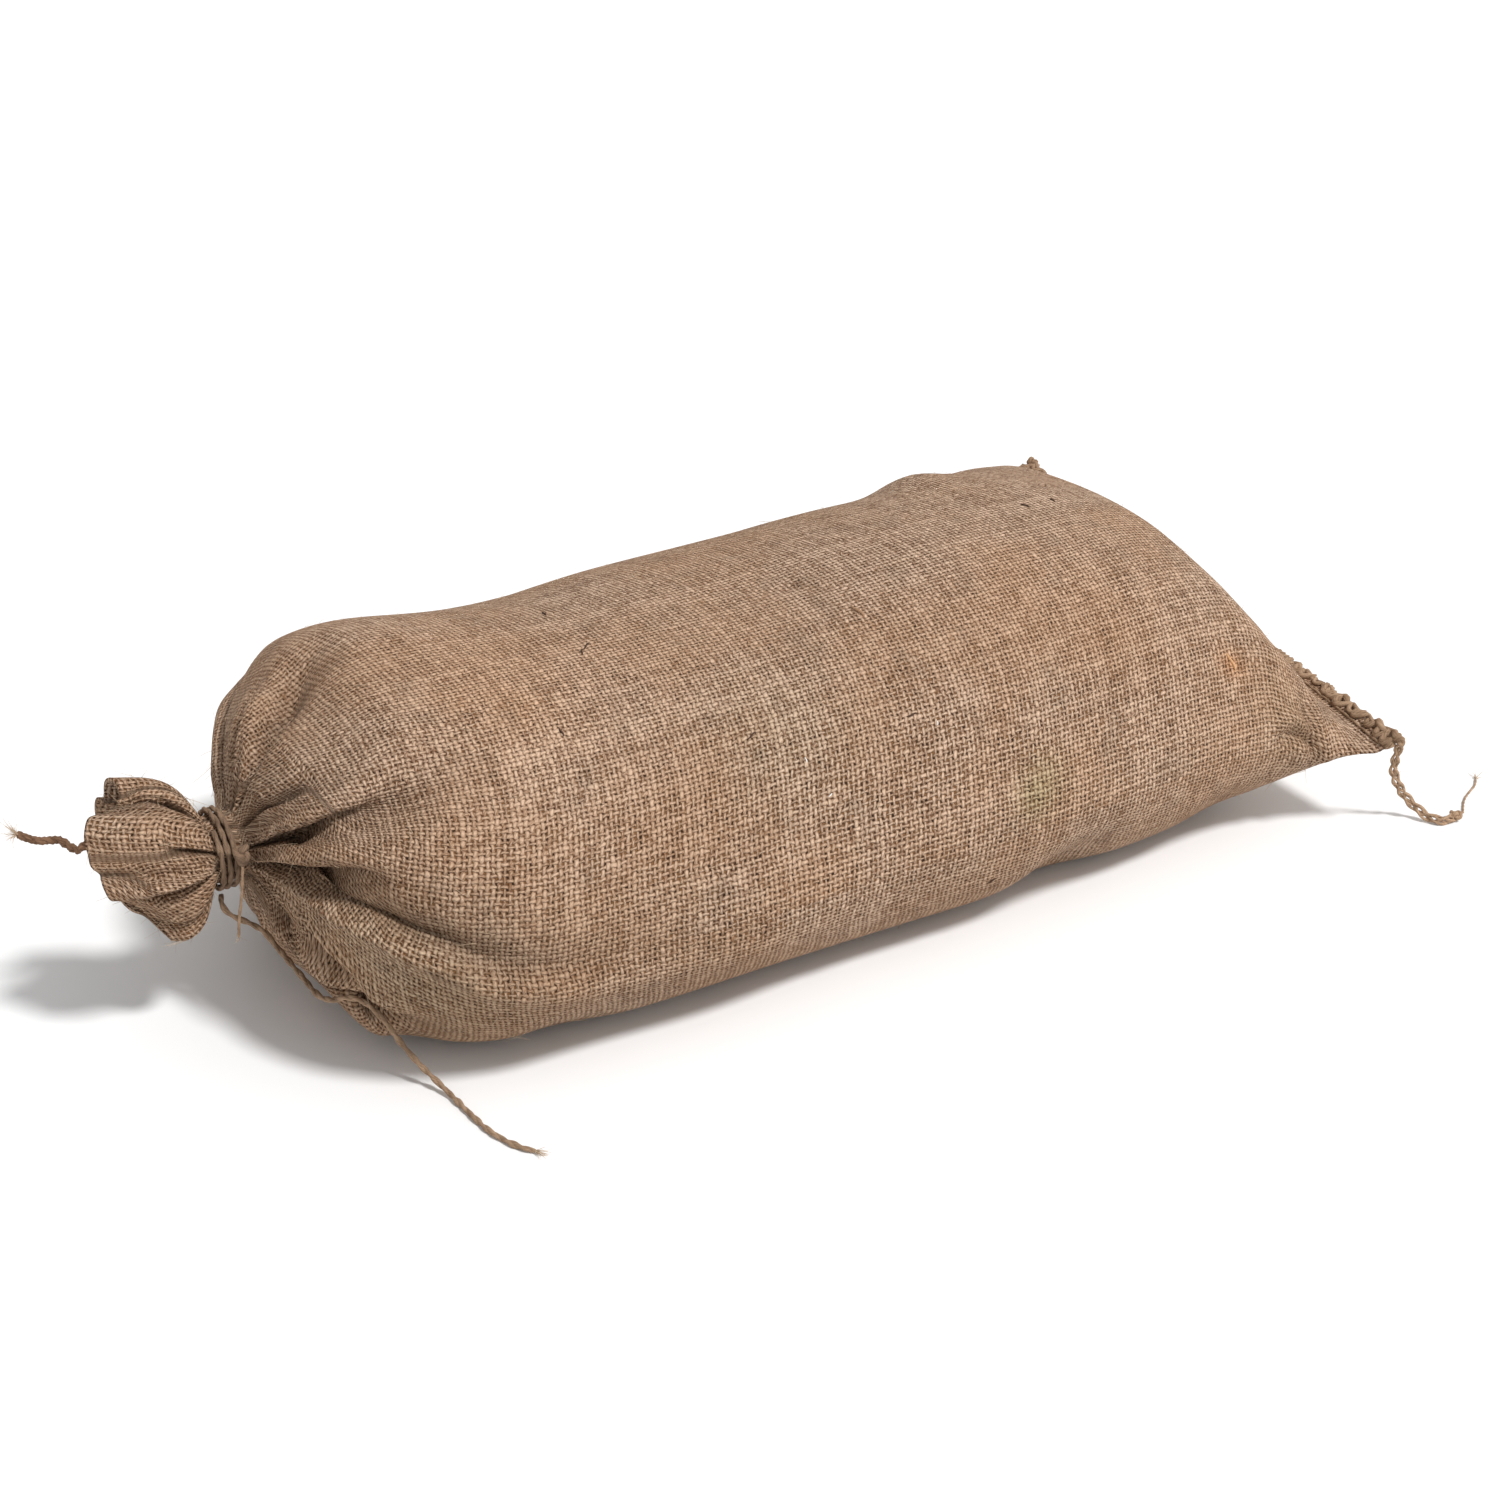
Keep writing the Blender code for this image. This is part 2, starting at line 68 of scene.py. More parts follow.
FRILL_STEPS = 12

# How fine the cloth's mesh is
PANEL_STEPS = 156
FRILL_RINGS = 44
MOUTH_RINGS = 26
# from one ring to the next at places along the cloth: finer where it is folded
RING_STEPS = [(0.0, 0.0021), (0.07, 0.0024), (0.12, 0.0042), (0.40, 0.0042), (0.43, 0.00135),
              (0.545, 0.00125)]

# How the threads' places are counted
BOTTOM_REACH = 0.022      # how far from a fold's middle its bottom is looked for
BOTTOM_WIDTH = 1.6        # columns of the mesh that take the gathered threads
FINER_AT_MOST = 1.10      # how far threads are pressed together before they gather
RUN_BLUR = 8
MOUTH_COUNT = 400

# The cloth
THREAD = 0.00206          # from one thread to the next
THREADS_AROUND = 292
CLOTH = 0.0017
CLOTH_CLEAR = 0.0002      # the cloth and the twines stay so far above the floor
TUBE_CLEAR = 0.0001

Section = namedtuple(
    "Section",
    "cloth x front_y back_y front_z back_z rise drop crown shoulder belly haunch",
)
BODY = [Section(*row) for row in (
    (0.000, 0.238, -0.112, 0.147, 0.043, 0.062, 0.0012, 0.0012, 2.0, 1.2, 2.0, 1.2),
    (0.012, 0.230, -0.108, 0.146, 0.037, 0.060, 0.0080, 0.0070, 2.6, 1.3, 2.6, 1.3),
    (0.035, 0.215, -0.102, 0.143, 0.037, 0.056, 0.0340, 0.0240, 2.8, 1.5, 3.2, 1.4),
    (0.070, 0.188, -0.098, 0.138, 0.045, 0.058, 0.0590, 0.0480, 2.7, 1.7, 4.0, 1.5),
    (0.120, 0.139, -0.103, 0.125, 0.050, 0.056, 0.0650, 0.0560, 2.4, 1.7, 4.2, 1.5),
    (0.200, 0.064, -0.110, 0.121, 0.050, 0.053, 0.0690, 0.0545, 2.3, 1.8, 4.5, 1.5),
    (0.300, -0.031, -0.110, 0.118, 0.050, 0.052, 0.0680, 0.0540, 2.3, 1.8, 4.5, 1.5),
    (0.370, -0.094, -0.111, 0.116, 0.050, 0.052, 0.0680, 0.0540, 2.3, 1.8, 4.5, 1.5),
    (0.415, -0.133, -0.111, 0.113, 0.051, 0.053, 0.0680, 0.0540, 2.4, 1.9, 4.2, 1.6),
    (0.450, -0.162, -0.106, 0.107, 0.056, 0.056, 0.0640, 0.0570, 2.4, 2.0, 3.6, 1.7),
    (0.480, -0.185, -0.093, 0.091, 0.065, 0.060, 0.0500, 0.0580, 2.4, 2.0, 3.2, 1.8),
    (0.502, -0.200, -0.069, 0.065, 0.073, 0.064, 0.0370, 0.0500, 2.2, 2.0, 2.6, 1.9),
    (0.518, -0.208, -0.040, 0.037, 0.075, 0.067, 0.0240, 0.0340, 2.0, 2.0, 2.0, 2.0),
    (0.529, -0.212, -0.0170, 0.0170, 0.070, 0.069, 0.0160, 0.0170, 2.0, 2.0, 2.0, 2.0),
    (0.534, -0.215, -0.0125, 0.0125, 0.069, 0.069, 0.0125, 0.0125, 2.0, 2.0, 2.0, 2.0),
    (0.545, -0.225, -0.0125, 0.0125, 0.069, 0.069, 0.0125, 0.0125, 2.0, 2.0, 2.0, 2.0),
)]

Fold = namedtuple("Fold", "around lean reach half deep frill_deep")
FOLDS = [Fold(*row) for row in (
    (0.055, 1.05, 0.105, 0.019, 0.0110, 0.0050),
    (0.008, 0.60, 0.060, 0.015, 0.0075, 0.0100),
    (0.165, -0.50, 0.040, 0.018, 0.0040, 0.0050),
    (0.255, 0.60, 0.090, 0.024, 0.0070, 0.0060),
    (0.375, 0.10, 0.070, 0.022, 0.0060, 0.0080),
    (0.470, 0.30, 0.075, 0.020, 0.0070, 0.0060),
    (0.565, 0.20, 0.060, 0.020, 0.0060, 0.0090),
    (0.690, -0.10, 0.065, 0.022, 0.0060, 0.0060),
    (0.800, 0.20, 0.050, 0.018, 0.0050, 0.0090),
    (0.868, 0.80, 0.070, 0.014, 0.0140, 0.0130),
)]
BODY_PRESS = 10.5
FRILL_PRESS = 22.0
FOLD_PEAK = 0.6
FOLD_FADE = 1.2
FOLD_NARROW = 0.35
FOLD_WIDEN = 1.10
FRILL_FADE = 0.8
FRILL_WIDEN = 1.25
DEEPEST = 0.62

Lump = namedtuple("Lump", "cloth around half_cloth half_around height")
LUMPS = [Lump(*row) for row in (
    (0.090, 0.405, 0.030, 0.040, 0.0015),
    (0.140, 0.400, 0.030, 0.040, -0.0010),
    (0.235, 0.060, 0.050, 0.050, 0.0025),
    (0.330, 0.985, 0.040, 0.035, 0.0040),
    (0.270, 0.240, 0.070, 0.080, -0.0022),
    (0.390, 0.160, 0.050, 0.070, 0.0025),
    (0.175, 0.260, 0.050, 0.090, 0.0018),
    (0.300, 0.440, 0.060, 0.050, 0.0030),
    (0.440, 0.420, 0.040, 0.050, 0.0035),
    (0.435, 0.320, 0.035, 0.070, 0.0050),
    (0.490, 0.870, 0.020, 0.030, 0.0080),
    # swells and dents that only the cloth has
    (0.132, 0.380, 0.018, 0.045, 0.0064),
    (0.070, 0.360, 0.024, 0.085, -0.0068),
    (0.048, 0.085, 0.018, 0.024, 0.0042),
    (0.172, 0.930, 0.022, 0.040, -0.0084),
    (0.345, 0.360, 0.035, 0.060, -0.0026),
    (0.600, 0.220, 0.012, 0.050, -0.0045),
    (0.478, 0.885, 0.014, 0.025, -0.0045),
    (0.410, 0.918, 0.020, 0.025, -0.0035),
    (0.086, 0.942, 0.014, 0.020, -0.0030),
    (0.504, 0.475, 0.014, 0.050, -0.0060),
    (0.600, 0.915, 0.022, 0.035, -0.0060),
)]
EAR_LIFT = 0.0095         # the far ear's tip stands up by this much
EAR_REACH = 0.024         # so far along the cloth
EAR_WIDTH = 0.030         # and so far around
SMALLEST_SPOKE = 0.02

FRILL_REACH = [(0.00, 0.038), (0.06, 0.041), (0.13, 0.039), (0.19, 0.029), (0.25, 0.027),
               (0.35, 0.034), (0.50, 0.040), (0.62, 0.034), (0.75, 0.016), (0.82, 0.014),
               (0.88, 0.018), (0.95, 0.031), (1.00, 0.038)]

# Sharp creases that only the cloth has. Each follows points on the cloth, given by the
# distance from the sewn end and the place around, with its depth and half width there. All
# but the place are in millimetres. "below" and "above" widen a crease on its two sides, and
# "lip" is how far the cloth stands up beside its narrower side, as a share of the depth.
Crease = namedtuple("Crease", "below above lip points")
CREASES = [
    # the deep slit above the front roll
    Crease(1.1, 1.0, 0.30, [
        (532, 0.046, 2, 2), (524, 0.056, 10, 2.3), (510, 0.081, 12, 2.6), (496, 0.101, 7, 3.6),
        (474, 0.122, 5, 7), (446, 0.139, 2, 11), (420, 0.150, 0, 14),
    ]),
    # the slit below it
    Crease(2.0, 1.0, 0.25, [
        (532, 0.980, 2, 2), (524, 0.992, 10, 2.4), (514, 0.016, 12, 2.8), (500, 0.040, 8, 3.6),
        (486, 0.054, 2, 5), (474, 0.062, 0, 6),
    ]),
    # the upper edge of the band that turns under
    Crease(1.0, 3.0, 0.45, [
        (524, 0.975, 2, 2.2), (510, 0.994, 8, 2.8), (490, 0.008, 10, 3.4), (470, 0.010, 8.5, 4),
        (450, 0.002, 7, 4.4), (425, 0.000, 5, 5), (390, 0.998, 2.6, 5.8), (345, 0.998, 1, 7),
        (300, 0.998, 0, 8),
    ]),
    # the dark slit under the band's roll
    Crease(1.6, 1.0, 0.40, [
        (516, 0.836, 4, 2.8), (508, 0.862, 16, 3.4), (497, 0.891, 18, 3.8), (486, 0.905, 8, 4),
        (474, 0.914, 0, 4),
    ]),
    # both sides of the roll from the knot along the band
    Crease(1.4, 1.0, 0.30, [
        (532, 0.952, 2, 2), (522, 0.932, 6, 2.6), (508, 0.920, 6, 3.4), (492, 0.914, 3, 4.4),
        (476, 0.914, 0, 6),
    ]),
    Crease(1.0, 1.6, 0.20, [
        (532, 0.900, 3, 2.2), (522, 0.882, 7, 2.8), (510, 0.868, 4, 3.4), (500, 0.862, 0, 4),
    ]),
    # the shoulder's grooves
    Crease(1.5, 1.0, 0.25, [
        (530, 0.225, 3, 2.4), (514, 0.246, 9, 3.4), (498, 0.272, 10, 4.8), (468, 0.306, 5, 8),
        (440, 0.320, 0, 11),
    ]),
    Crease(1.0, 1.5, 0.25, [
        (530, 0.285, 3, 2.4), (516, 0.312, 9, 3.4), (498, 0.336, 6, 5), (470, 0.350, 0, 8),
    ]),
    Crease(1.3, 1.0, 0.15, [
        (531, 0.138, 2, 2.2), (520, 0.142, 6, 3), (506, 0.152, 4, 4.2), (486, 0.166, 0, 7),
    ]),
    # the back of the neck and underneath
    Crease(1.4, 1.0, 0.25, [
        (530, 0.395, 3, 2.4), (512, 0.404, 8, 3.6), (486, 0.420, 4, 6), (456, 0.430, 0, 9),
    ]),
    Crease(1.0, 1.5, 0.25, [
        (530, 0.470, 3, 2.4), (512, 0.478, 10, 3.6), (484, 0.490, 6, 6), (452, 0.496, 0, 9),
    ]),
    Crease(1.5, 1.0, 0.25, [
        (530, 0.560, 3, 2.4), (512, 0.554, 8, 3.6), (486, 0.546, 4, 6), (462, 0.540, 0, 8),
    ]),
    Crease(1.0, 1.4, 0.25, [
        (530, 0.645, 3, 2.4), (512, 0.628, 9, 3.6), (488, 0.616, 5, 5.5), (462, 0.610, 0, 8),
    ]),
    Crease(1.4, 1.0, 0.25, [
        (530, 0.735, 3, 2.4), (514, 0.730, 8, 3.4), (494, 0.722, 4, 5), (474, 0.716, 0, 7),
    ]),
    # a pinch near the front ear
    Crease(1.6, 1.0, 0.60, [
        (74, 0.006, 0, 2), (66, 0.010, 3.4, 2.2), (58, 0.014, 4, 2.4), (50, 0.012, 2.6, 2.6),
        (42, 0.006, 0, 3),
    ]),
    # the fold that crosses the band beside the ear
    Crease(1.0, 1.8, 0.45, [
        (36, 0.056, 0, 3), (42, 0.044, 2.2, 2.8), (46, 0.028, 3, 2.8), (48, 0.008, 3, 3),
        (48, 0.990, 1.2, 3.4), (46, 0.974, 0, 4),
    ]),
    # the frill
    Crease(1.7, 1.0, 0.50, [
        (544, 0.980, 3, 2), (554, 0.976, 10, 3), (570, 0.970, 14, 4), (586, 0.960, 6, 4.4),
        (600, 0.950, 1, 5),
    ]),
    Crease(1.0, 1.6, 0.30, [
        (544, 0.160, 2, 1.8), (558, 0.172, 5, 2.6), (575, 0.182, 6, 3), (600, 0.188, 4, 3.6),
    ]),
    Crease(1.3, 1.0, 0.20, [
        (544, 0.060, 1, 1.8), (554, 0.062, 3, 2.6), (568, 0.066, 0, 3.4),
    ]),
]
CREASE_UNITS = np.array((0.001, 1, 0.001, 0.001))
CREASE_CURVE = 1.5        # below 2 a crease comes to a sharp bottom
TIE_EASE = 0.012          # creases are shallow so near the tie's middle
TIE_LEAST = 0.15          # this share of them is left under it
SEWN_EASE = 0.02          # and none at the sewn end
LIP_PLACE = 2.3           # a lip's distance from its crease, in half widths
LIP_WIDTH = 1.4

# Small shapes spread by chance: how many, and the lowest and highest of each value.
# Gathers at the neck: place around, lean, reach, depth and half width
GATHERS = 22, (0, 1), (-0.9, 0.9), (0.010, 0.026), (0.0006, 0.0020), (0.0045, 0.0090)
GATHERS_FROM = NECK_START + 0.008
# Swells of the filling: place around, place along, height, size and stretch
UNEVEN = 46, (0, 1), (0.05, 0.50), (-0.0011, 0.0011), (0.016, 0.045), (0.7, 1.6)
# Wrinkles in the slack cloth: place along, place around, length, half width, depth and turn
WRINKLES = (60, (0.02, 0.52), (0, 1), (0.010, 0.030), (0.0025, 0.0050), (0.0002, 0.0007),
            (-0.7, 0.7))
# Fibres that stand off the cloth: how many are tried, their lengths and thicknesses, how
# far they bend, and the height below which none is made
HAIRS = 900
HAIR_LENGTH = (0.003, 0.010)
HAIR_THICK = (0.00006, 0.00011)
HAIR_CURL = 0.30
HAIR_LOWEST = 0.012
FIBRE = 0.00010           # thickness of a fibre at a frayed end,
FIBRE_ROOT = 0.0012       # and how far inside the end it starts

# Routes of the loose ends, as in the solids
LONG_END = [
    (-0.2222, -0.0040, 0.0521), (-0.2230, -0.0060, 0.0498), (-0.2224, -0.0088, 0.0474),
    (-0.2200, -0.0108, 0.0453), (-0.2165, -0.0120, 0.0430), (-0.2132, -0.0124, 0.0402),
    (-0.2102, -0.0128, 0.0368), (-0.2080, -0.0152, 0.0330), (-0.2061, -0.0215, 0.0296),
    (-0.2043, -0.0320, 0.0266), (-0.2030, -0.0440, 0.0250), (-0.2014, -0.0535, 0.0280),
    (-0.1985, -0.0592, 0.0313), (-0.1950, -0.0642, 0.0318), (-0.1920, -0.0678, 0.0292),
    (-0.1891, -0.0704, 0.0247), (-0.1871, -0.0724, 0.0207), (-0.1852, -0.0740, 0.0166),
    (-0.1826, -0.0769, 0.0120), (-0.1801, -0.0802, 0.0080), (-0.1777, -0.0838, 0.0048),
    (-0.1754, -0.0900, 0.0022), (-0.1742, -0.0980, 0.0013), (-0.1735, -0.1064, 0.0012),
    (-0.1719, -0.1190, 0.0012), (-0.1680, -0.1300, 0.0012), (-0.1636, -0.1365, 0.0012),
]
SHORT_END = [
    (-0.2180, -0.0188, 0.0706), (-0.2184, -0.0188, 0.0660), (-0.2189, -0.0185, 0.0610),
    (-0.2194, -0.0178, 0.0560), (-0.2200, -0.0168, 0.0510), (-0.2206, -0.0160, 0.0450),
    (-0.2210, -0.0155, 0.0398),
]
SHORT_TWINE = 0.0012
SEAM_TAIL = [
    (0.2404, -0.1116, 0.0404), (0.2412, -0.1094, 0.0350), (0.2426, -0.1072, 0.0290),
    (0.2440, -0.1060, 0.0235), (0.2475, -0.1060, 0.0165), (0.2520, -0.1065, 0.0100),
    (0.2560, -0.1100, 0.0050), (0.2583, -0.1145, 0.0026), (0.2610, -0.1180, 0.0021),
    (0.2650, -0.1195, 0.0021), (0.2695, -0.1185, 0.0021),
]
TAIL_TWINE = 0.0038
SEAM_STRAND = [
    (0.2701, -0.1183, 0.0016), (0.2750, -0.1168, 0.0009), (0.2790, -0.1130, 0.0007),
    (0.2825, -0.1095, 0.0007), (0.2870, -0.1062, 0.0007), (0.2925, -0.1032, 0.0007),
    (0.2972, -0.1005, 0.0007), (0.3017, -0.0962, 0.0007),
]
STRAND_TWINE = 0.0010
MOUTH_TAIL = [
    (-0.2584, 0.0268, 0.0702), (-0.2600, 0.0266, 0.0692), (-0.2618, 0.0260, 0.0680),
    (-0.2643, 0.0250, 0.0682), (-0.2668, 0.0245, 0.0705), (-0.2700, 0.0245, 0.0740),
    (-0.2735, 0.0250, 0.0748), (-0.2772, 0.0258, 0.0752), (-0.2808, 0.0268, 0.0768),
    (-0.2838, 0.0275, 0.0788),
]
MOUTH_TWINE = 0.0032

# Seams: twine looped over the edge, and the chain that lies along it
STITCH_PITCH = 0.0118     # from one loop to the next
LOOP_TWINE = 0.0025
LOOP_DEPTH = 0.0042       # how far in from the edge the loops reach
LOOP_LIFT = 0.0006        # how high they lie on the cloth
LOOP_OUT = 0.0016         # how far out they stand where they cross the edge
LOOP_CROSSING = 0.0011
CHAIN_PITCH = 0.0150
CHAIN_TWINE = 0.0025
CHAIN_OUT = 0.0007
CHAIN_HIGH = 0.0011
CHAIN_WIDE = 0.0012
EDGE_STEP = 0.0006
# Rows of stitches beside the edge, at a distance from the sewn end and in columns
STITCH = 0.0062
STITCH_STEP = 0.0010
STITCH_HIGH = 0.00075
STITCH_SUNK = 0.00025
STITCH_TWINE = 0.0011
STITCH_ROW = 0.0056
STITCH_COLUMNS = 3
SIDE_SEAM = (0.004, 0.497)
# Unevenness along a twine: the size, rate and start of each wave
TWINE_WAVES = [(0.10, 1.3, 0), (0.06, 3.1, 0)]
SEAM_WAVES = [(0.20, 217, 0), (0.16, 571, 1)]
LOOP_WAVES = [(0.9, 190, 0), (0.5, 431, 2)]
CHAIN_WAVES = [(0.5, 410, 0)]

# Flecks of bark and slubs on the cloth, an orange fleck, and near-white specks that are painted
# glints: where, how long, which way and what kind
Fleck = namedtuple("Fleck", "cloth around length turn kind")
FLECKS = [Fleck(*row) for row in (
    (0.348, 0.288, 0.0050, 20, "bark"), (0.346, 0.228, 0.0080, 65, "bark"),
    (0.352, 0.222, 0.0050, 40, "bark"), (0.384, 0.150, 0.0040, 10, "bark"),
    (0.311, 0.112, 0.0060, 80, "bark"), (0.244, 0.096, 0.0055, 100, "bark"),
    (0.099, 0.262, 0.0045, 30, "bark"), (0.114, 0.264, 0.0060, 0, "bark"),
    (0.215, 0.962, 0.0045, 70, "bark"), (0.160, 0.640, 0.0050, 15, "bark"),
    (0.330, 0.560, 0.0060, 75, "bark"), (0.420, 0.450, 0.0045, 50, "bark"),
    (0.234, 0.188, 0.0090, 5, "slub"), (0.086, 0.066, 0.0080, 3, "orange"),
    # the "light" flecks are near-white specks painted as glints
    (0.292, 0.088, 0.0025, 20, "light"), (0.290, 0.062, 0.0022, 80, "light"),
    (0.234, 0.088, 0.0024, 45, "light"), (0.200, 0.420, 0.0070, 5, "slub"),
)]
FLECK_THICK = {"bark": 0.00035, "slub": 0.00075, "orange": 0.00070, "light": 0.00022}
# Stains and painted shade: cloth, around, half size, colour that the cloth is multiplied by. The
# grey patches along the band are painted shade; the grey patches at the shoulder and on the frill
# darken the cloth there; the rest are stains and patches of tone
STAINS_AND_SHADE = [
    (0.197, 0.034, 0.010, (0.88, 0.95, 0.86)), (0.204, 0.022, 0.008, (0.84, 0.92, 0.82)),
    (0.086, 0.066, 0.006, (1.12, 0.92, 0.74)), (0.300, 0.110, 0.030, (0.94, 0.97, 0.96)),
    (0.140, 0.150, 0.045, (1.04, 1.00, 0.96)), (0.400, 0.200, 0.050, (1.05, 1.00, 0.95)),
    (0.060, 0.020, 0.020, (0.90, 0.92, 0.90)), (0.480, 0.960, 0.040, (0.93, 0.96, 0.92)),
    (0.250, 0.600, 0.060, (0.94, 0.96, 0.93)), (0.120, 0.800, 0.050, (0.93, 0.96, 0.93)),
    # painted shade under the band's roll
    (0.440, 0.950, 0.050, (0.86, 0.86, 0.85)), (0.360, 0.945, 0.045, (0.90, 0.90, 0.89)),
    (0.520, 0.250, 0.070, (0.90, 0.89, 0.88)), (0.600, 0.900, 0.060, (0.90, 0.87, 0.83)),
    # the first is painted shade in the fold valley above the band
    (0.455, 0.020, 0.045, (0.92, 0.90, 0.88)), (0.590, 0.100, 0.060, (0.94, 0.93, 0.91)),
]

# How open the weave is: everywhere, at places, on the frill, and less for each metre of depth
OPEN = 0.46
OPEN_PLACES = [Lump(*row) for row in (
    (0.518, 0.17, 0.030, 0.13, 0.70), (0.250, 0.03, 0.200, 0.10, 0.30),
    (0.250, 0.93, np.inf, 0.06, 0.10),
)]
OPEN_FRILL = 0.25
OPEN_LESS = 25
# Painted shade: creases are darker by this share at this depth
CREASE_SHADE = 0.30
CREASE_DEEP = 0.008

# Camera and light
CAMERA_TURN = radians(-30)
CAMERA_RISE = radians(28)
CAMERA_FAR = 1.110
CAMERA_AIM = Vector((0.0133, -0.0181, 0.0500))
FIELD = radians(30)
SENSOR = 36.0
FLOOR_SIZE = 60.0
FLOOR_COLOUR = (0.88, 0.88, 0.88, 1.0)
SKY = 0.55
# each sun's direction, its width in degrees and its strength
SUNS = {
    "key": ((0.24, -0.52, 0.82), 9.0, 2.7),
    "side": ((0.85, -0.40, 0.35), 80.0, 0.8),
}

# Every material's shine
SHINE = 0.12
SHEEN_ROUGHNESS = 0.5
SHEEN_TINT = (0.85, 0.56, 0.36, 1.0)
MIX_INPUTS = (0, 6, 7)    # a mix node's factor and its two colours
MIX_OUTPUT = 2

# The weave. Widths and distances are in threads, and a rate is how fine a noise is
SWAY, SWAY_RATE = 0.8, 0.30       # threads wander slowly
WAVER, WAVER_RATE = 0.45, 0.80    # and quickly
STREAK_ACROSS, STREAK_ALONG = 3.7, 0.16
PATCH_RATE = 0.16
HALF_THREAD = 0.45
WEFT_WIDER = 0.03
OPEN_THINS = 0.15         # where the weave is open, threads are thinner by this much
PATCH_VARIES = 0.18       # how much a thread's half width varies, by patches of the cloth,
THREAD_VARIES = 0.10      # from thread to thread,
STREAK_VARIES = 0.26      # along a thread
CROSSING_VARIES = 0.12    # and from crossing to crossing
DIP = 0.32                # how far a thread goes down under the next
FIBRE_RATE, FIBRE_SLANT, FIBRE_ALONG, FIBRE_SEED = 4.5, 2.2, 1.1, 0.73
# the last of these is the painted highlight on each crossing
THREAD_TONE, STREAK_TONE, CROSSING_TONE, FIBRE_TONE, DASH_HIGHLIGHT = 0.14, 0.40, 0.28, 1.1, 0.20
DASH_SLANT = 0.55
DASH_HALF = 0.42
WARM_RATE, GREY_RATE, FUZZ_RATE = 0.035, 0.12, 0.70
TINT_SHARE = 0.35
WEAVE_RELIEF = 0.0016
FIBRE_RELIEF = 0.30
TWINE_RELIEF = 0.00035
THREAD_DARK = (0.140, 0.055, 0.019)
THREAD_LIGHT = (0.634, 0.457, 0.331)
THREAD_WARM = (0.440, 0.245, 0.130)
THREAD_GREY = (0.290, 0.210, 0.150)
HOLLOW_SHADE = (0.44, 0.29, 0.18)       # painted shade: a thread's colour is multiplied by this where it dips and towards its sides
# painted shade: the filling seen through the gaps between threads, as dark as it lies in shade
GAP_SHADE = (0.022, 0.010, 0.005)
FUZZ_COLOUR = (0.190, 0.090, 0.036)
# Twines and fibres: the material's name, its darkest and its lightest colour
TWINES = {
    "tie": ("tie_twine", (0.100, 0.062, 0.040), (0.310, 0.205, 0.135)),
    "tie_tan": ("tie_twine_tan", (0.170, 0.105, 0.064), (0.450, 0.305, 0.200)),
    "sewing": ("sewing_twine", (0.210, 0.120, 0.066), (0.590, 0.410, 0.275)),
    "seam": ("seam_twine", (0.150, 0.085, 0.046), (0.470, 0.320, 0.210)),
    "tail": ("tail_twine", (0.070, 0.034, 0.020), (0.280, 0.160, 0.095)),
}
FIBRES = {
    "fibre": ("loose_fibre", (0.40, 0.28, 0.18), (0.70, 0.54, 0.38)),
    "bark": ("bark_fleck", (0.035, 0.020, 0.014), (0.100, 0.055, 0.035)),
    "slub": ("slub", (0.20, 0.11, 0.06), (0.42, 0.26, 0.16)),
    "orange": ("orange_fleck", (0.46, 0.25, 0.12), (0.62, 0.37, 0.20)),
    # painted glints on the cloth
    "light": ("glint_fleck", (0.75, 0.72, 0.66), (0.95, 0.92, 0.88)),
}

BODY_NAME = "root"
chance = np.random.default_rng(11)


def point_at(item, back):
    """Turns a camera or light to look away from a direction, and links it."""
    item.rotation_mode = "QUATERNION"
    item.rotation_quaternion = (-back).to_track_quat("-Z", "Y")
    bpy.context.scene.collection.objects.link(item)


def make_camera():
    data = bpy.data.cameras.new("camera")
    data.sensor_width = SENSOR
    data.lens = SENSOR / 2 / tan(FIELD / 2)
    data.clip_start = 0.02
    item = bpy.data.objects.new("camera", data)
    back = Vector((
        sin(CAMERA_TURN) * cos(CAMERA_RISE), -cos(CAMERA_TURN) * cos(CAMERA_RISE), sin(CAMERA_RISE)
    ))
    item.location = CAMERA_AIM + back * CAMERA_FAR
    point_at(item, back)
    bpy.context.scene.camera = item


def make_sun(name, source, width, strength):
    """An even light from one direction. Its width in degrees softens the shadows."""
    data = bpy.data.lights.new(name, "SUN")
    data.angle = radians(width)
    data.energy = strength
    item = bpy.data.objects.new(name, data)
    point_at(item, Vector(source))


def plug(tree, slot, value):
    """A shader value is linked to a node's input, and a plain one is set on it."""
    if isinstance(value, Value):
        tree.links.new(value.socket, slot)
    else:
        slot.default_value = value


class Value:
    """A shader value that + - * / and maths() can work on."""

    def __init__(self, tree, socket):
        self.tree = tree
        self.socket = socket

    def maths(self, operation, *others):
        node = self.tree.nodes.new("ShaderNodeMath")
        node.operation = operation
        for slot, value in zip(node.inputs, (self, *others)):
            plug(self.tree, slot, value)
        return Value(self.tree, node.outputs[0])

    def __add__(self, other):
        return self.maths("ADD", other)

    def __sub__(self, other):
        return self.maths("SUBTRACT", other)

    def __mul__(self, other):
        return self.maths("MULTIPLY", other)

    def __truediv__(self, other):
        return self.maths("DIVIDE", other)

    def __rsub__(self, other):
        return self * -1.0 + other

    __radd__ = __add__
    __rmul__ = __mul__


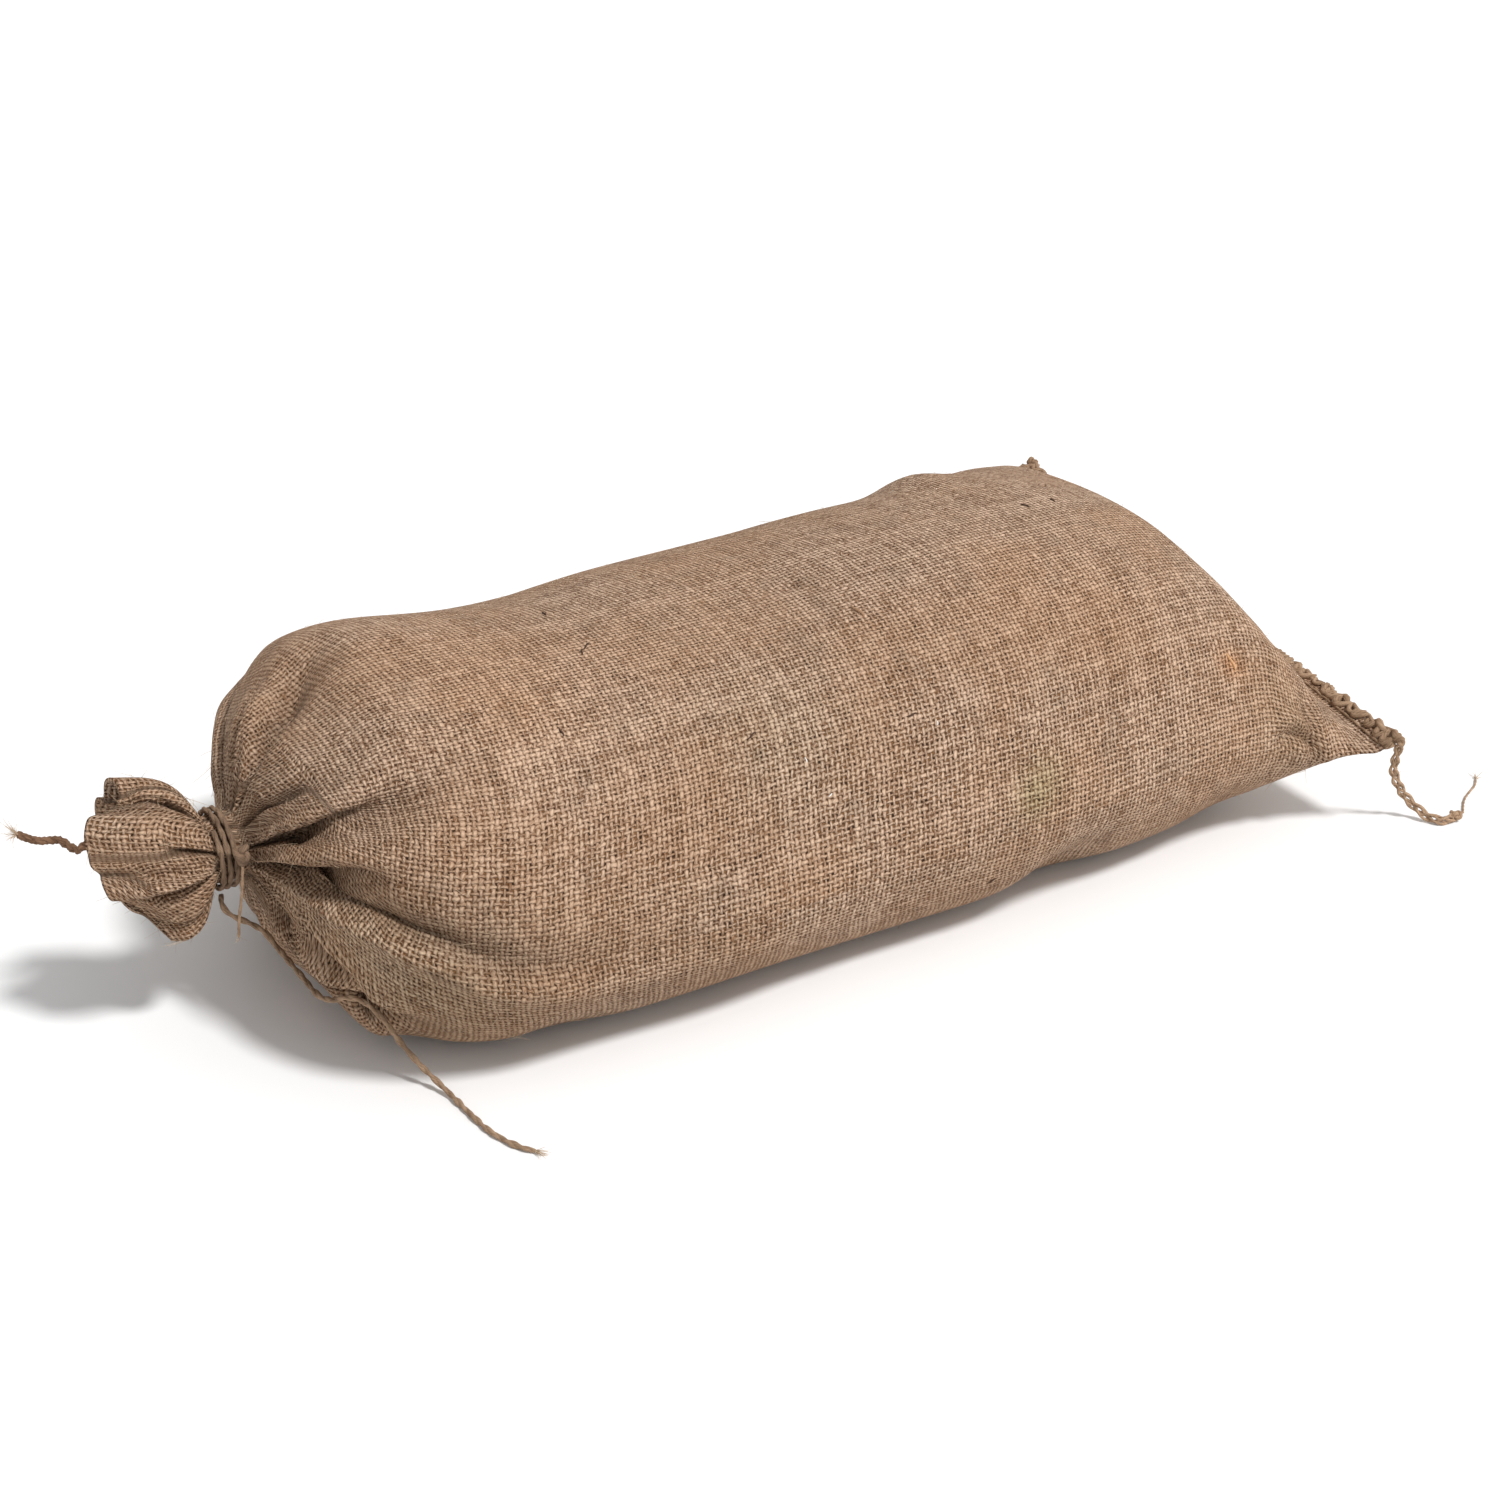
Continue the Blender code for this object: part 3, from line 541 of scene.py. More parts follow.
class Shader:
    """A Principled material and short names for the nodes that make its detail."""

    def __init__(self, name, roughness, sheen=0.0):
        self.material = bpy.data.materials.new(name)
        self.material.use_nodes = True
        self.tree = self.material.node_tree
        self.surface = self.tree.nodes["Principled BSDF"].inputs
        self.surface["Roughness"].default_value = roughness
        self.surface["Specular IOR Level"].default_value = SHINE
        self.surface["Sheen Weight"].default_value = sheen
        self.surface["Sheen Roughness"].default_value = SHEEN_ROUGHNESS
        self.surface["Sheen Tint"].default_value = SHEEN_TINT

    def node(self, kind, **inputs):
        node = self.tree.nodes.new(kind)
        for key, value in inputs.items():
            plug(self.tree, node.inputs[key.replace("_", " ")], value)
        return node

    def value(self, kind, output=0, **inputs):
        return Value(self.tree, self.node(kind, **inputs).outputs[output])

    def point(self, x, y, z=0.0):
        return self.value("ShaderNodeCombineXYZ", X=x, Y=y, Z=z)

    def texture_place(self):
        place = self.value("ShaderNodeTexCoord", "UV")
        parts = self.node("ShaderNodeSeparateXYZ", Vector=place)
        return [Value(self.tree, parts.outputs[axis]) for axis in "XY"]

    def attribute(self, name, output="Fac"):
        node = self.node("ShaderNodeAttribute")
        node.attribute_name = name
        return Value(self.tree, node.outputs[output])

    def noise(self, place, scale, detail=2.0):
        return self.value("ShaderNodeTexNoise", Vector=place, Scale=scale, Detail=detail)

    def random(self, place):
        return self.value("ShaderNodeTexWhiteNoise", Vector=place)

    def ramp(self, factor, low, high):
        node = self.node("ShaderNodeMapRange", Value=factor, From_Min=low, From_Max=high)
        node.interpolation_type = "SMOOTHSTEP"
        return Value(self.tree, node.outputs[0])

    def mix(self, factor, first, second, blend="MIX"):
        node = self.tree.nodes.new("ShaderNodeMix")
        node.data_type = "RGBA"
        node.blend_type = blend
        for slot, value in zip(MIX_INPUTS, (factor, first, second)):
            if isinstance(value, tuple):
                value = (*value, 1.0)
            plug(self.tree, node.inputs[slot], value)
        return Value(self.tree, node.outputs[MIX_OUTPUT])

    def colour(self, value):
        plug(self.tree, self.surface["Base Color"], value)

    def relief(self, height, depth):
        bump = self.value("ShaderNodeBump", Strength=1.0, Distance=depth, Height=height)
        plug(self.tree, self.surface["Normal"], bump)


def woven_cloth():
    """Plain weave. The mesh's texture places count threads, so one square is one crossing.
    A point's third number is a seed that keeps its noise apart from the others."""
    s = Shader("jute_cloth", 0.92, sheen=0.12)
    across, along = s.texture_place()
    place = s.point(across, along)
    sway = s.noise(place, SWAY_RATE)
    swing = s.noise(s.point(across, along, 40.0), SWAY_RATE)
    waver = s.noise(s.point(across, along, 80.0), WAVER_RATE)
    u = across + (sway - 0.5) * SWAY + (waver - 0.5) * WAVER
    v = along + (swing - 0.5) * SWAY - (waver - 0.5) * WAVER
    column = u.maths("FLOOR")
    row = v.maths("FLOOR")
    in_u = u - column - 0.5
    in_v = v - row - 0.5
    warp_chance = s.random(s.point(column, 3.0))
    weft_chance = s.random(s.point(row, 71.0))
    warp_streak = s.noise(s.point(column * STREAK_ACROSS, v * STREAK_ALONG, 9.0), 1.0, 3.0)
    weft_streak = s.noise(s.point(u * STREAK_ALONG, row * STREAK_ACROSS, 27.0), 1.0, 3.0)
    patch = s.noise(place, PATCH_RATE, 3.0)
    width = HALF_THREAD - s.attribute("open") * OPEN_THINS - (patch - 0.5) * PATCH_VARIES
    width = width + (s.random(s.point(column, row, 17.0)) - 0.5) * CROSSING_VARIES
    warp_half = width + (warp_chance - 0.5) * THREAD_VARIES + (warp_streak - 0.5) * STREAK_VARIES
    weft_half = width + (weft_chance - 0.5) * THREAD_VARIES + (weft_streak - 0.5) * STREAK_VARIES
    weft_half = weft_half + WEFT_WIDER
    warp = rounded(in_u, warp_half) * (weave_wave(v, column) * DIP + (1 - DIP))
    weft = rounded(in_v, weft_half) * (weave_wave(u, row + 1.0) * DIP + (1 - DIP))
    height = warp.maths("MAXIMUM", weft)
    on_top = warp.maths("GREATER_THAN", weft)
    # fibres run along whichever thread is on top, at a slight angle from its twist
    warp_place = s.point(in_u * FIBRE_RATE + v * FIBRE_SLANT, v * FIBRE_ALONG, column * FIBRE_SEED)
    weft_place = s.point(u * FIBRE_ALONG, in_v * FIBRE_RATE + u * FIBRE_SLANT, row * FIBRE_SEED)
    warp_fibre = s.noise(warp_place, 1.0, 4.0)
    weft_fibre = s.noise(weft_place, 1.0, 4.0)
    fibre = warp_fibre * on_top + weft_fibre * (1.0 - on_top)
    warp_tone = warp_chance * THREAD_TONE + warp_streak * STREAK_TONE
    weft_tone = weft_chance * THREAD_TONE + weft_streak * STREAK_TONE
    tone = s.random(s.point(column, row, on_top * 5.0)) * CROSSING_TONE
    tone = tone + warp_tone * on_top + weft_tone * (1.0 - on_top) + (fibre - 0.5) * FIBRE_TONE
    # painted highlight: each crossing gets a light dash across its middle, slanted as the twist of
    # the yarn runs
    warp_highlight = rounded(in_u + in_v * DASH_SLANT, DASH_HALF)
    weft_highlight = rounded(in_v + in_u * DASH_SLANT, DASH_HALF)
    highlight_dash = warp_highlight * on_top + weft_highlight * (1.0 - on_top)
    tone = tone + (highlight_dash - 0.5) * DASH_HIGHLIGHT
    thread = s.mix(s.ramp(tone, 0.02, 0.70), THREAD_DARK, THREAD_LIGHT)
    warm = s.noise(s.point(across, along, 5.0), WARM_RATE, 3.0)
    thread = s.mix(s.ramp(warm, 0.35, 0.65) * TINT_SHARE, thread, THREAD_WARM)
    grey = s.noise(s.point(across, along, 61.0), GREY_RATE)
    thread = s.mix(s.ramp(grey, 0.55, 0.75) * TINT_SHARE, thread, THREAD_GREY)
    # painted shade: a thread is darker where it is low, at its sides and where it dips under the
    # next
    lit = s.ramp(height, 0.10, 0.80)
    thread = s.mix(lit, s.mix(1.0, thread, HOLLOW_SHADE, "MULTIPLY"), thread)
    # fuzz closes some of the gaps between the threads; the others show the filling in painted shade,
    # near black
    fuzz = s.ramp(s.noise(place, FUZZ_RATE, 3.0), 0.38, 0.60)
    cloth = s.mix(s.ramp(height, 0.02, 0.36), s.mix(fuzz, GAP_SHADE, FUZZ_COLOUR), thread)
    # the cloth's stains, and the shade painted into its creases and along its band
    cloth = s.mix(1.0, cloth, s.attribute("stain_and_shade", "Color"), "MULTIPLY")
    s.colour(cloth)
    s.relief(height + (fibre - 0.5) * FIBRE_RELIEF, WEAVE_RELIEF)
    return s.material


def rounded(offset, half):
    """Height of a round thread at an offset from its middle, nothing outside it."""
    share = offset / half
    return (1.0 - share * share).maths("MAXIMUM", 0.0).maths("SQRT")


def weave_wave(run, index):
    """A thread's rise and fall, over one thread and under the next."""
    return ((run + index) * pi).maths("SINE")


def twine(name, dark, light):
    """Spun fibres. Texture places are turns around the strand and diameters along it."""
    s = Shader(name, 0.85, sheen=0.15)
    around, along = s.texture_place()
    strands = s.noise(s.point((around + along * 0.22) * 18.0, along * 0.35), 1.0, 3.0)
    patch = s.noise(s.point(around, along * 0.4, 7.0), 0.6, 3.0)
    tone = s.ramp(strands * 0.7 + patch * 0.3, 0.30, 0.70)
    s.colour(s.mix(tone, dark, light))
    s.relief(strands, TWINE_RELIEF)
    return s.material


def plain_fibre(name, dark, light):
    s = Shader(name, 0.8)
    along = s.texture_place()[1]
    tone = s.noise(s.point(along, along, 3.0), 3.0)
    s.colour(s.mix(s.ramp(tone, 0.3, 0.7), dark, light))
    return s.material


def curve_value(places, values, place):
    """A smooth curve through the rows of a table that never overshoots them."""
    places = np.asarray(places, float)
    values = np.asarray(values, float)
    step = np.diff(places)
    slope = np.diff(values) / step
    tangent = np.zeros(len(places))
    tangent[0] = slope[0]
    tangent[-1] = slope[-1]
    for i in range(1, len(places) - 1):
        if slope[i - 1] * slope[i] > 0:
            left = 2 * step[i] + step[i - 1]
            right = step[i] + 2 * step[i - 1]
            tangent[i] = (left + right) / (left / slope[i - 1] + right / slope[i])
    i = np.clip(np.searchsorted(places, place) - 1, 0, len(step) - 1)
    t = (place - places[i]) / step[i]
    return (
        (1 + 2 * t) * (1 - t) ** 2 * values[i]
        + t * (1 - t) ** 2 * step[i] * tangent[i]
        + t * t * (3 - 2 * t) * values[i + 1]
        + t * t * (t - 1) * step[i] * tangent[i + 1]
    )


def unit(vector):
    return vector / np.linalg.norm(vector, axis=-1, keepdims=True)


def line_length(points):
    return np.linalg.norm(np.diff(points, axis=0), axis=1).sum()


def distances(line):
    """How far along a line each of its points lies."""
    return np.r_[0, np.cumsum(np.linalg.norm(np.diff(line, axis=0), axis=1))]


def evenly(points, count):
    """Points read at even distances; columns past the third are carried along."""
    along = distances(points[:, :3])
    at = np.linspace(0, along[-1], count)
    return np.column_stack([np.interp(at, along, column) for column in points.T])


def waves(place, rows):
    return sum(size * np.sin(place * rate + start) for size, rate, start in rows)


def body_ring(cloth):
    places = [row.cloth for row in BODY]
    row = Section(*(curve_value(places, column, cloth) for column in zip(*BODY)))
    t = np.sin(np.linspace(-pi / 2, pi / 2, 361))
    y = (row.front_y + row.back_y) / 2 + t * (row.back_y - row.front_y) / 2
    line = (row.front_z + row.back_z) / 2 + t * (row.back_z - row.front_z) / 2
    side = np.abs(t)
    top = line + row.rise * np.maximum(1 - side**row.crown, 0) ** (1 / row.shoulder)
    low = line - row.drop * np.maximum(1 - side**row.belly, 0) ** (1 / row.haunch)
    upper = evenly(np.column_stack([y, top]), PANEL_STEPS + 1)[:-1]
    lower = evenly(np.column_stack([y, low])[::-1], PANEL_STEPS + 1)[:-1]
    ring = np.vstack([upper, lower])
    return np.column_stack([np.full(len(ring), row.x), ring])


def frill_frame(share):
    middle = Vector((BODY[-1].x, 0.0, NECK_HEIGHT))
    for i in range(FRILL_STEPS):
        bend = FRILL_TURN * min(1.0, FRILL_BEND_SOON * share * (i + 0.5) / FRILL_STEPS)
        ahead = Vector((-cos(bend), sin(bend), FRILL_LIFT)).normalized()
        middle += ahead * (FRILL_REACH[0][1] * share / FRILL_STEPS)
    bend = FRILL_TURN * min(1.0, FRILL_BEND_SOON * share)
    return middle, Vector((-cos(bend), sin(bend), FRILL_LIFT)).normalized()


def frill_ring(share):
    middle, ahead = frill_frame(share)
    side = Vector((ahead.y, -ahead.x, 0.0)).normalized()
    places, values = zip(*FRILL_REACH)
    flare = 1 - (1 - share) ** FRILL_EASE
    around = np.arange(2 * PANEL_STEPS) / (2 * PANEL_STEPS)
    angle = 2 * pi * around
    beyond = share * (curve_value(places, values, around) - FRILL_REACH[0][1])
    high = NECK_RADIUS + flare * np.where(np.sin(angle) > 0, FRILL_UP, FRILL_DOWN)
    wide = NECK_RADIUS + flare * FRILL_ASIDE
    ring = np.array(middle) + np.outer(beyond, ahead) - np.outer(wide * np.cos(angle), side)
    ring[:, 2] += high * np.sin(angle)
    return ring


def wrapped(distance):
    return (distance + 0.5) % 1.0 - 0.5


def bell(x):
    return np.exp(-(x**2))


def fold_depth(cloth, around):
    total = np.zeros_like(around)
    away = NECK_START - cloth
    for fold in FOLDS:
        if away > fold.reach:
            continue
        if away > 0:
            run = away / fold.reach
            centre = fold.around + fold.lean * away
            strength = fold.deep * BODY_PRESS * sin(pi * run**FOLD_PEAK) ** FOLD_FADE
            width = fold.half * (FOLD_NARROW + FOLD_WIDEN * run)
        else:
            run = min(1.0, -away / (FLAT_LENGTH - NECK_START))
            centre = fold.around
            strength = fold.frill_deep * FRILL_PRESS * run**FRILL_FADE
            width = fold.half * FRILL_WIDEN
        total += strength * bell(wrapped(around - centre) / width)
    return np.minimum(total, DEEPEST)


def lump_height(lumps, cloth, around):
    total = 0.0
    for lump in lumps:
        along = (cloth - lump.cloth) / lump.half_cloth
        across = wrapped(around - lump.around) / lump.half_around
        total = total + lump.height * bell(along) * bell(across)
    return total


def shaped(ring, cloth):
    around = np.arange(len(ring)) / len(ring)
    middle = ring.mean(axis=0)
    spoke = ring - middle
    reach = np.maximum(np.linalg.norm(spoke, axis=1), SMALLEST_SPOKE)
    share = 1 - fold_depth(cloth, around) + lump_height(LUMPS, cloth, around) / reach
    moved = middle + spoke * share[:, None]
    moved[:, 2] = np.maximum(moved[:, 2], FLOOR)
    return moved


def grid_normals(grid):
    """Outward normals of a grid of rings."""
    across = np.roll(grid, -1, axis=1) - np.roll(grid, 1, axis=1)
    along = np.gradient(grid, axis=0)
    normal = np.cross(across, along)
    normal /= np.maximum(np.linalg.norm(normal, axis=2, keepdims=True), 1e-12)
    middle = grid.mean(axis=1, keepdims=True)
    if ((grid - middle) * normal).sum() < 0:
        normal = -normal
    return normal


def crease_depth(cloth, around, crease):
    """Depth of one crease at each place on the cloth, which is a distance and a share."""
    shape = np.broadcast(cloth, around).shape
    nearest = np.full(shape, 1.0)
    deep, half, side = np.zeros(shape), np.ones(shape), np.zeros(shape)
    points = np.array(crease.points) * CREASE_UNITS
    for first, second in zip(points, points[1:]):
        run = np.array([second[0] - first[0], wrapped(second[1] - first[1]) * GIRTH])
        off_cloth = cloth - first[0]
        off_around = wrapped(around - first[1]) * GIRTH
        share = np.clip((off_cloth * run[0] + off_around * run[1]) / (run @ run), 0, 1)
        away = np.hypot(off_cloth - share * run[0], off_around - share * run[1])
        closer = away < nearest
        nearest = np.where(closer, away, nearest)
        deep = np.where(closer, first[2] + share * (second[2] - first[2]), deep)
        half = np.where(closer, first[3] + share * (second[3] - first[3]), half)
        turn = run[0] * off_around - run[1] * off_cloth
        side = np.where(closer, turn * np.sign(run[0]), side)
    width = half * np.where(side > 0, crease.above, crease.below)
    fall = deep * np.exp(-((nearest / width) ** CREASE_CURVE))
    narrow = (side > 0) == (crease.above < crease.below)
    lip = crease.lip * deep * bell((nearest / half - LIP_PLACE) / LIP_WIDTH)
    return fall - np.where(narrow, lip, 0.0)


def draws(count, *ranges):
    """Rows of chance values, each between its lowest and highest."""
    for _ in range(count):
        yield [chance.uniform(low, high) for low, high in ranges]


def chance_folds(cloth, around):
    """Small gathers at the neck, swells and wrinkles, the same on each run."""
    depth = np.zeros(np.broadcast(cloth, around).shape)
    away = np.abs(cloth - GATHERS_FROM)
    for centre, lean, reach, deep, half in draws(*GATHERS):
        run = away / reach
        across = wrapped(around - centre - lean * away) / (half * (0.7 + 0.8 * run))
        depth += deep * np.exp(-np.abs(across) ** CREASE_CURVE) * np.exp(-run**2)
    for centre, middle, high, size, stretch in draws(*UNEVEN):
        across = wrapped(around - centre) * GIRTH / (size * stretch)
        depth += high * bell(across) * bell((cloth - middle) / size)
    for middle, centre, length, half, deep, turn in draws(*WRINKLES):
        off_cloth = cloth - middle
        off_around = wrapped(around - centre) * GIRTH
        run = off_cloth * cos(turn) + off_around * sin(turn)
        off = -off_cloth * sin(turn) + off_around * cos(turn)
        depth += deep * bell(off / half) * bell(run / length)
    return depth


def cloth_places():
    """Where the rings lie along the cloth, to the neck's end and on over the frill."""
    at = np.linspace(0, NECK_END, 4001)
    steps = np.interp(at, *zip(*RING_STEPS))
    count = np.r_[0, np.cumsum(np.diff(at) / steps[1:])]
    body = np.interp(np.linspace(0, count[-1], int(count[-1]) + 1), count, at)
    frill = NECK_END + FRILL_LENGTH * np.arange(1, FRILL_RINGS + 1) / FRILL_RINGS
    return np.r_[body, frill]


def bag_grid():
    """Points of the outer cloth, its places along the cloth, and how deep it is folded."""
    places = cloth_places()
    rings = [shaped(body_ring(cloth), cloth) for cloth in places[:-FRILL_RINGS]]
    for cloth in places[-FRILL_RINGS:]:
        rings.append(shaped(frill_ring((cloth - NECK_END) / FRILL_LENGTH), cloth))
    grid = np.array(rings)
    around = np.arange(2 * PANEL_STEPS)[None, :] / (2 * PANEL_STEPS)
    cloth = places[:, None]
    ear = bell(cloth / EAR_REACH) * bell(wrapped(around - 0.5) / EAR_WIDTH)
    grid[:, :, 2] += EAR_LIFT * ear
    depth = np.zeros(grid.shape[:2])
    for crease in CREASES:
        depth += crease_depth(cloth, around, crease)
    depth += chance_folds(cloth, around)
    # the neck stays inside its tie, and the sewn edge inside its seam
    tie = np.clip(np.abs(cloth - TIE_MIDDLE) / TIE_EASE, TIE_LEAST, 1)
    sewn = np.clip(cloth / SEWN_EASE, 0, 1)
    depth *= np.minimum(tie, sewn)
    normals = grid_normals(grid)
    spoke = np.linalg.norm(grid - grid.mean(axis=1, keepdims=True), axis=2)
    main = np.array([fold_depth(cloth, around[0]) for cloth in places])
    sunk = spoke * main / (1 - main) + depth
    grid = grid - normals * depth[:, :, None]
    grid[:, :, 2] = np.maximum(grid[:, :, 2], FLOOR + CLOTH_CLEAR)
    return grid, places, depth, sunk


def periodic(line, place):
    """A running total around a ring, read at any column, also past either end."""
    count = len(line) - 1
    turns = np.floor(place / count)
    return np.interp(place - turns * count, np.arange(count + 1), line) + turns * line[-1]


def fold_bottoms(cloth, sunk):
    """Columns of the ring where the folds are deepest, in order."""
    count = len(sunk)
    around = np.arange(count) / count
    away = max(NECK_START - cloth, 0.0)
    bottoms = []
    for fold in FOLDS:
        centre = fold.around + fold.lean * min(away, fold.reach)
        off = wrapped(around - centre)
        weight = bell(off / BOTTOM_REACH) * (sunk / sunk.max() + 0.05) ** 4
        bottoms.append((centre + (weight * off).sum() / weight.sum()) % 1.0 * count)
    return np.sort(bottoms)


def thread_places(grid, places, sunk):
    """Where each point lies on the cloth, counted in threads. Each ridge between two folds
    keeps its own threads all along it, and the cloth that is gathered out of sight is left
    in the bottoms of the folds, so the threads that show keep their size."""
    step = np.linalg.norm(np.roll(grid, -1, axis=1) - grid, axis=2) / THREAD
    count = grid.shape[1]
    columns = np.arange(count + 1)
    across = np.zeros((len(places), count + 1))
    for i, cloth in enumerate(places):
        total = np.r_[0, np.cumsum(step[i])]
        bottoms = fold_bottoms(cloth, sunk[i])
        ridges = (bottoms + np.roll(bottoms, -1) + np.where(bottoms == bottoms[-1], count, 0)) / 2
        ridges = np.sort(ridges % count)
        ridges = np.r_[ridges - count, ridges, ridges[0] + count]
        for first, last in zip(ridges, ridges[1:]):
            inside = (columns >= first) & (columns < last)
            if not inside.any():
                continue
            start = periodic(total, first)
            shown = periodic(total, last) - start
            threads = THREADS_AROUND * (last - first) / count
            scale = min(threads / shown, FINER_AT_MOST)
            middle = (first + last) / 2
            bottom = bottoms + np.round((middle - bottoms) / count) * count
            bottom = bottom[np.argmin(np.abs(bottom - middle))]
            low, high = np.tanh((np.array((first, last)) - bottom) / BOTTOM_WIDTH)
            spread = (np.tanh((columns - bottom) / BOTTOM_WIDTH) - low) / (high - low)
            value = THREADS_AROUND * first / count + (periodic(total, columns) - start) * scale
            value = value + (threads - shown * scale) * spread
            across[i] = np.where(inside, value, across[i])
    run = np.linalg.norm(np.diff(grid, axis=0), axis=2) / THREAD
    run = sum(np.roll(run, shift, axis=1) for shift in range(-RUN_BLUR, RUN_BLUR + 1))
    run = run / (2 * RUN_BLUR + 1)
    along = np.vstack([np.zeros(count), np.cumsum(run, axis=0)])
    # beyond the tie the threads are counted back from the mouth
    join = int(np.searchsorted(places, TIE_MIDDLE))
    along[join:] += MOUTH_COUNT - along[-1]
    return across, np.column_stack([along, along[:, 0]])


def make_bag(material):
    """The cloth from the sewn end over the filled body to the mouth, and inside it."""
    grid, places, depth, sunk = bag_grid()
    across, along = thread_places(grid, places, sunk)
    count = grid.shape[1]
    last = len(grid) - 1
    # the inside of the mouth is the same rings again, a cloth's thickness in
    back = list(range(last, last - MOUTH_RINGS, -1))
    inside = []
    for i in back:
        spoke = grid[i] - grid[i].mean(axis=0)
        reach = np.linalg.norm(spoke, axis=1, keepdims=True)
        inside.append(grid[i] - spoke * np.minimum(CLOTH / reach, 0.6))
    rings = np.concatenate([grid, inside])
    origin = [*range(last + 1), *back]
    u = across[origin]
    v = np.concatenate([along, 2 * along[last] - along[back] + CLOTH / THREAD])
    faces, corners = wall(len(rings), count)
    corners = [(u[i, j], v[i, j]) for i, j in corners]
    # the sewn end is a narrow slot, closed from side to side
    for j in range(count // 2):
        face = list(dict.fromkeys((j, (count - j) % count, (count - j - 1) % count, j + 1)))
        faces.append(face)
        corners += [(u[0, n], v[0, n]) for n in face]
    end = len(rings) - 1
    faces.append(tuple(end * count + j for j in range(count)))
    corners += [(u[end, j], v[end, j]) for j in range(count)]
    item = add_mesh("sandbag_cloth", rings.reshape(-1, 3), faces, material, corners)
    paint_cloth(item.data, places[origin], depth[origin])
    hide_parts("bag")
    return grid, places


def paint_cloth(mesh, places, depth):
    """How open the weave is, and how the cloth is stained and painted with shade in its creases and
    along its band, point by point.
    """
    around = np.arange(depth.shape[1])[None, :] / depth.shape[1]
    cloth = places[:, None]
    frill = np.clip((cloth - NECK_END) / 0.01, 0, 1)
    openness = OPEN + lump_height(OPEN_PLACES, cloth, around) + OPEN_FRILL * frill
    openness = np.clip(openness - depth * OPEN_LESS, 0, 1)
    stain_and_shade = np.ones((*depth.shape, 4))
    for middle, turn, size, colour in STAINS_AND_SHADE:
        off = np.hypot(cloth - middle, wrapped(around - turn) * GIRTH) / size
        stain_and_shade[..., :3] *= 1 + bell(off)[..., None] * (np.array(colour) - 1)
    # painted shade: the deeper the cloth lies in a crease, the darker it is painted
    stain_and_shade[..., :3] *= (1 - CREASE_SHADE * np.clip(depth / CREASE_DEEP, 0, 1))[..., None]
    layer = mesh.attributes.new("open", "FLOAT", "POINT")
    layer.data.foreach_set("value", openness.ravel())
    layer = mesh.attributes.new("stain_and_shade", "FLOAT_COLOR", "POINT")
    layer.data.foreach_set("color", stain_and_shade.ravel())


def add_mesh(name, points, faces, material, corners):
    mesh = bpy.data.meshes.new(name)
    mesh.from_pydata(np.asarray(points) - ORIGIN, [], faces)
    mesh.shade_smooth()
    mesh.materials.append(material)
    layer = mesh.uv_layers.new(name="threads")
    layer.data.foreach_set("uv", np.asarray(corners, float).ravel())
    item = bpy.data.objects.new(name, mesh)
    bpy.context.scene.collection.objects.link(item)
    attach(item, BODY_NAME)
    return item


def smooth_route(points, spacing):
    """Points read from a smooth curve through a route's own points."""
    points = np.asarray(points, float)
    ends = [2 * points[0] - points[1], *points, 2 * points[-1] - points[-2]]
    dense = []
    for a, b, c, d in zip(ends, ends[1:], ends[2:], ends[3:]):
        for t in np.arange(10) / 10:
            dense.append(
                0.5 * (2 * b + (c - a) * t + (2 * a - 5 * b + 4 * c - d) * t**2
                       + (3 * b - a - 3 * c + d) * t**3)
            )
    dense = np.array([*dense, points[-1]])
    return evenly(dense, max(3, int(round(line_length(dense) / spacing)) + 1))


def frames(route):
    """Two directions square to a route at each point, carried along without a twist."""
    ahead = unit(np.gradient(route, axis=0))
    start = np.cross(ahead[0], (0.0, 0.0, 1.0))
    if np.linalg.norm(start) < 0.2:
        start = np.cross(ahead[0], (0.0, 1.0, 0.0))
    sides = [unit(start)]
    for direction in ahead[1:]:
        sides.append(unit(sides[-1] - direction * (sides[-1] @ direction)))
    return np.array(sides), np.cross(ahead, sides)


def wall(rows, count, first=0):
    """Faces between rings of points, and the row and column of each of their corners."""
    faces = []
    corners = []
    for i in range(rows - 1):
        low, high = first + i * count, first + (i + 1) * count
        for j in range(count):
            k = (j + 1) % count
            faces.append((low + j, low + k, high + k, high + j))
            corners += [(i, j), (i, j + 1), (i + 1, j + 1), (i + 1, j)]
    return faces, corners


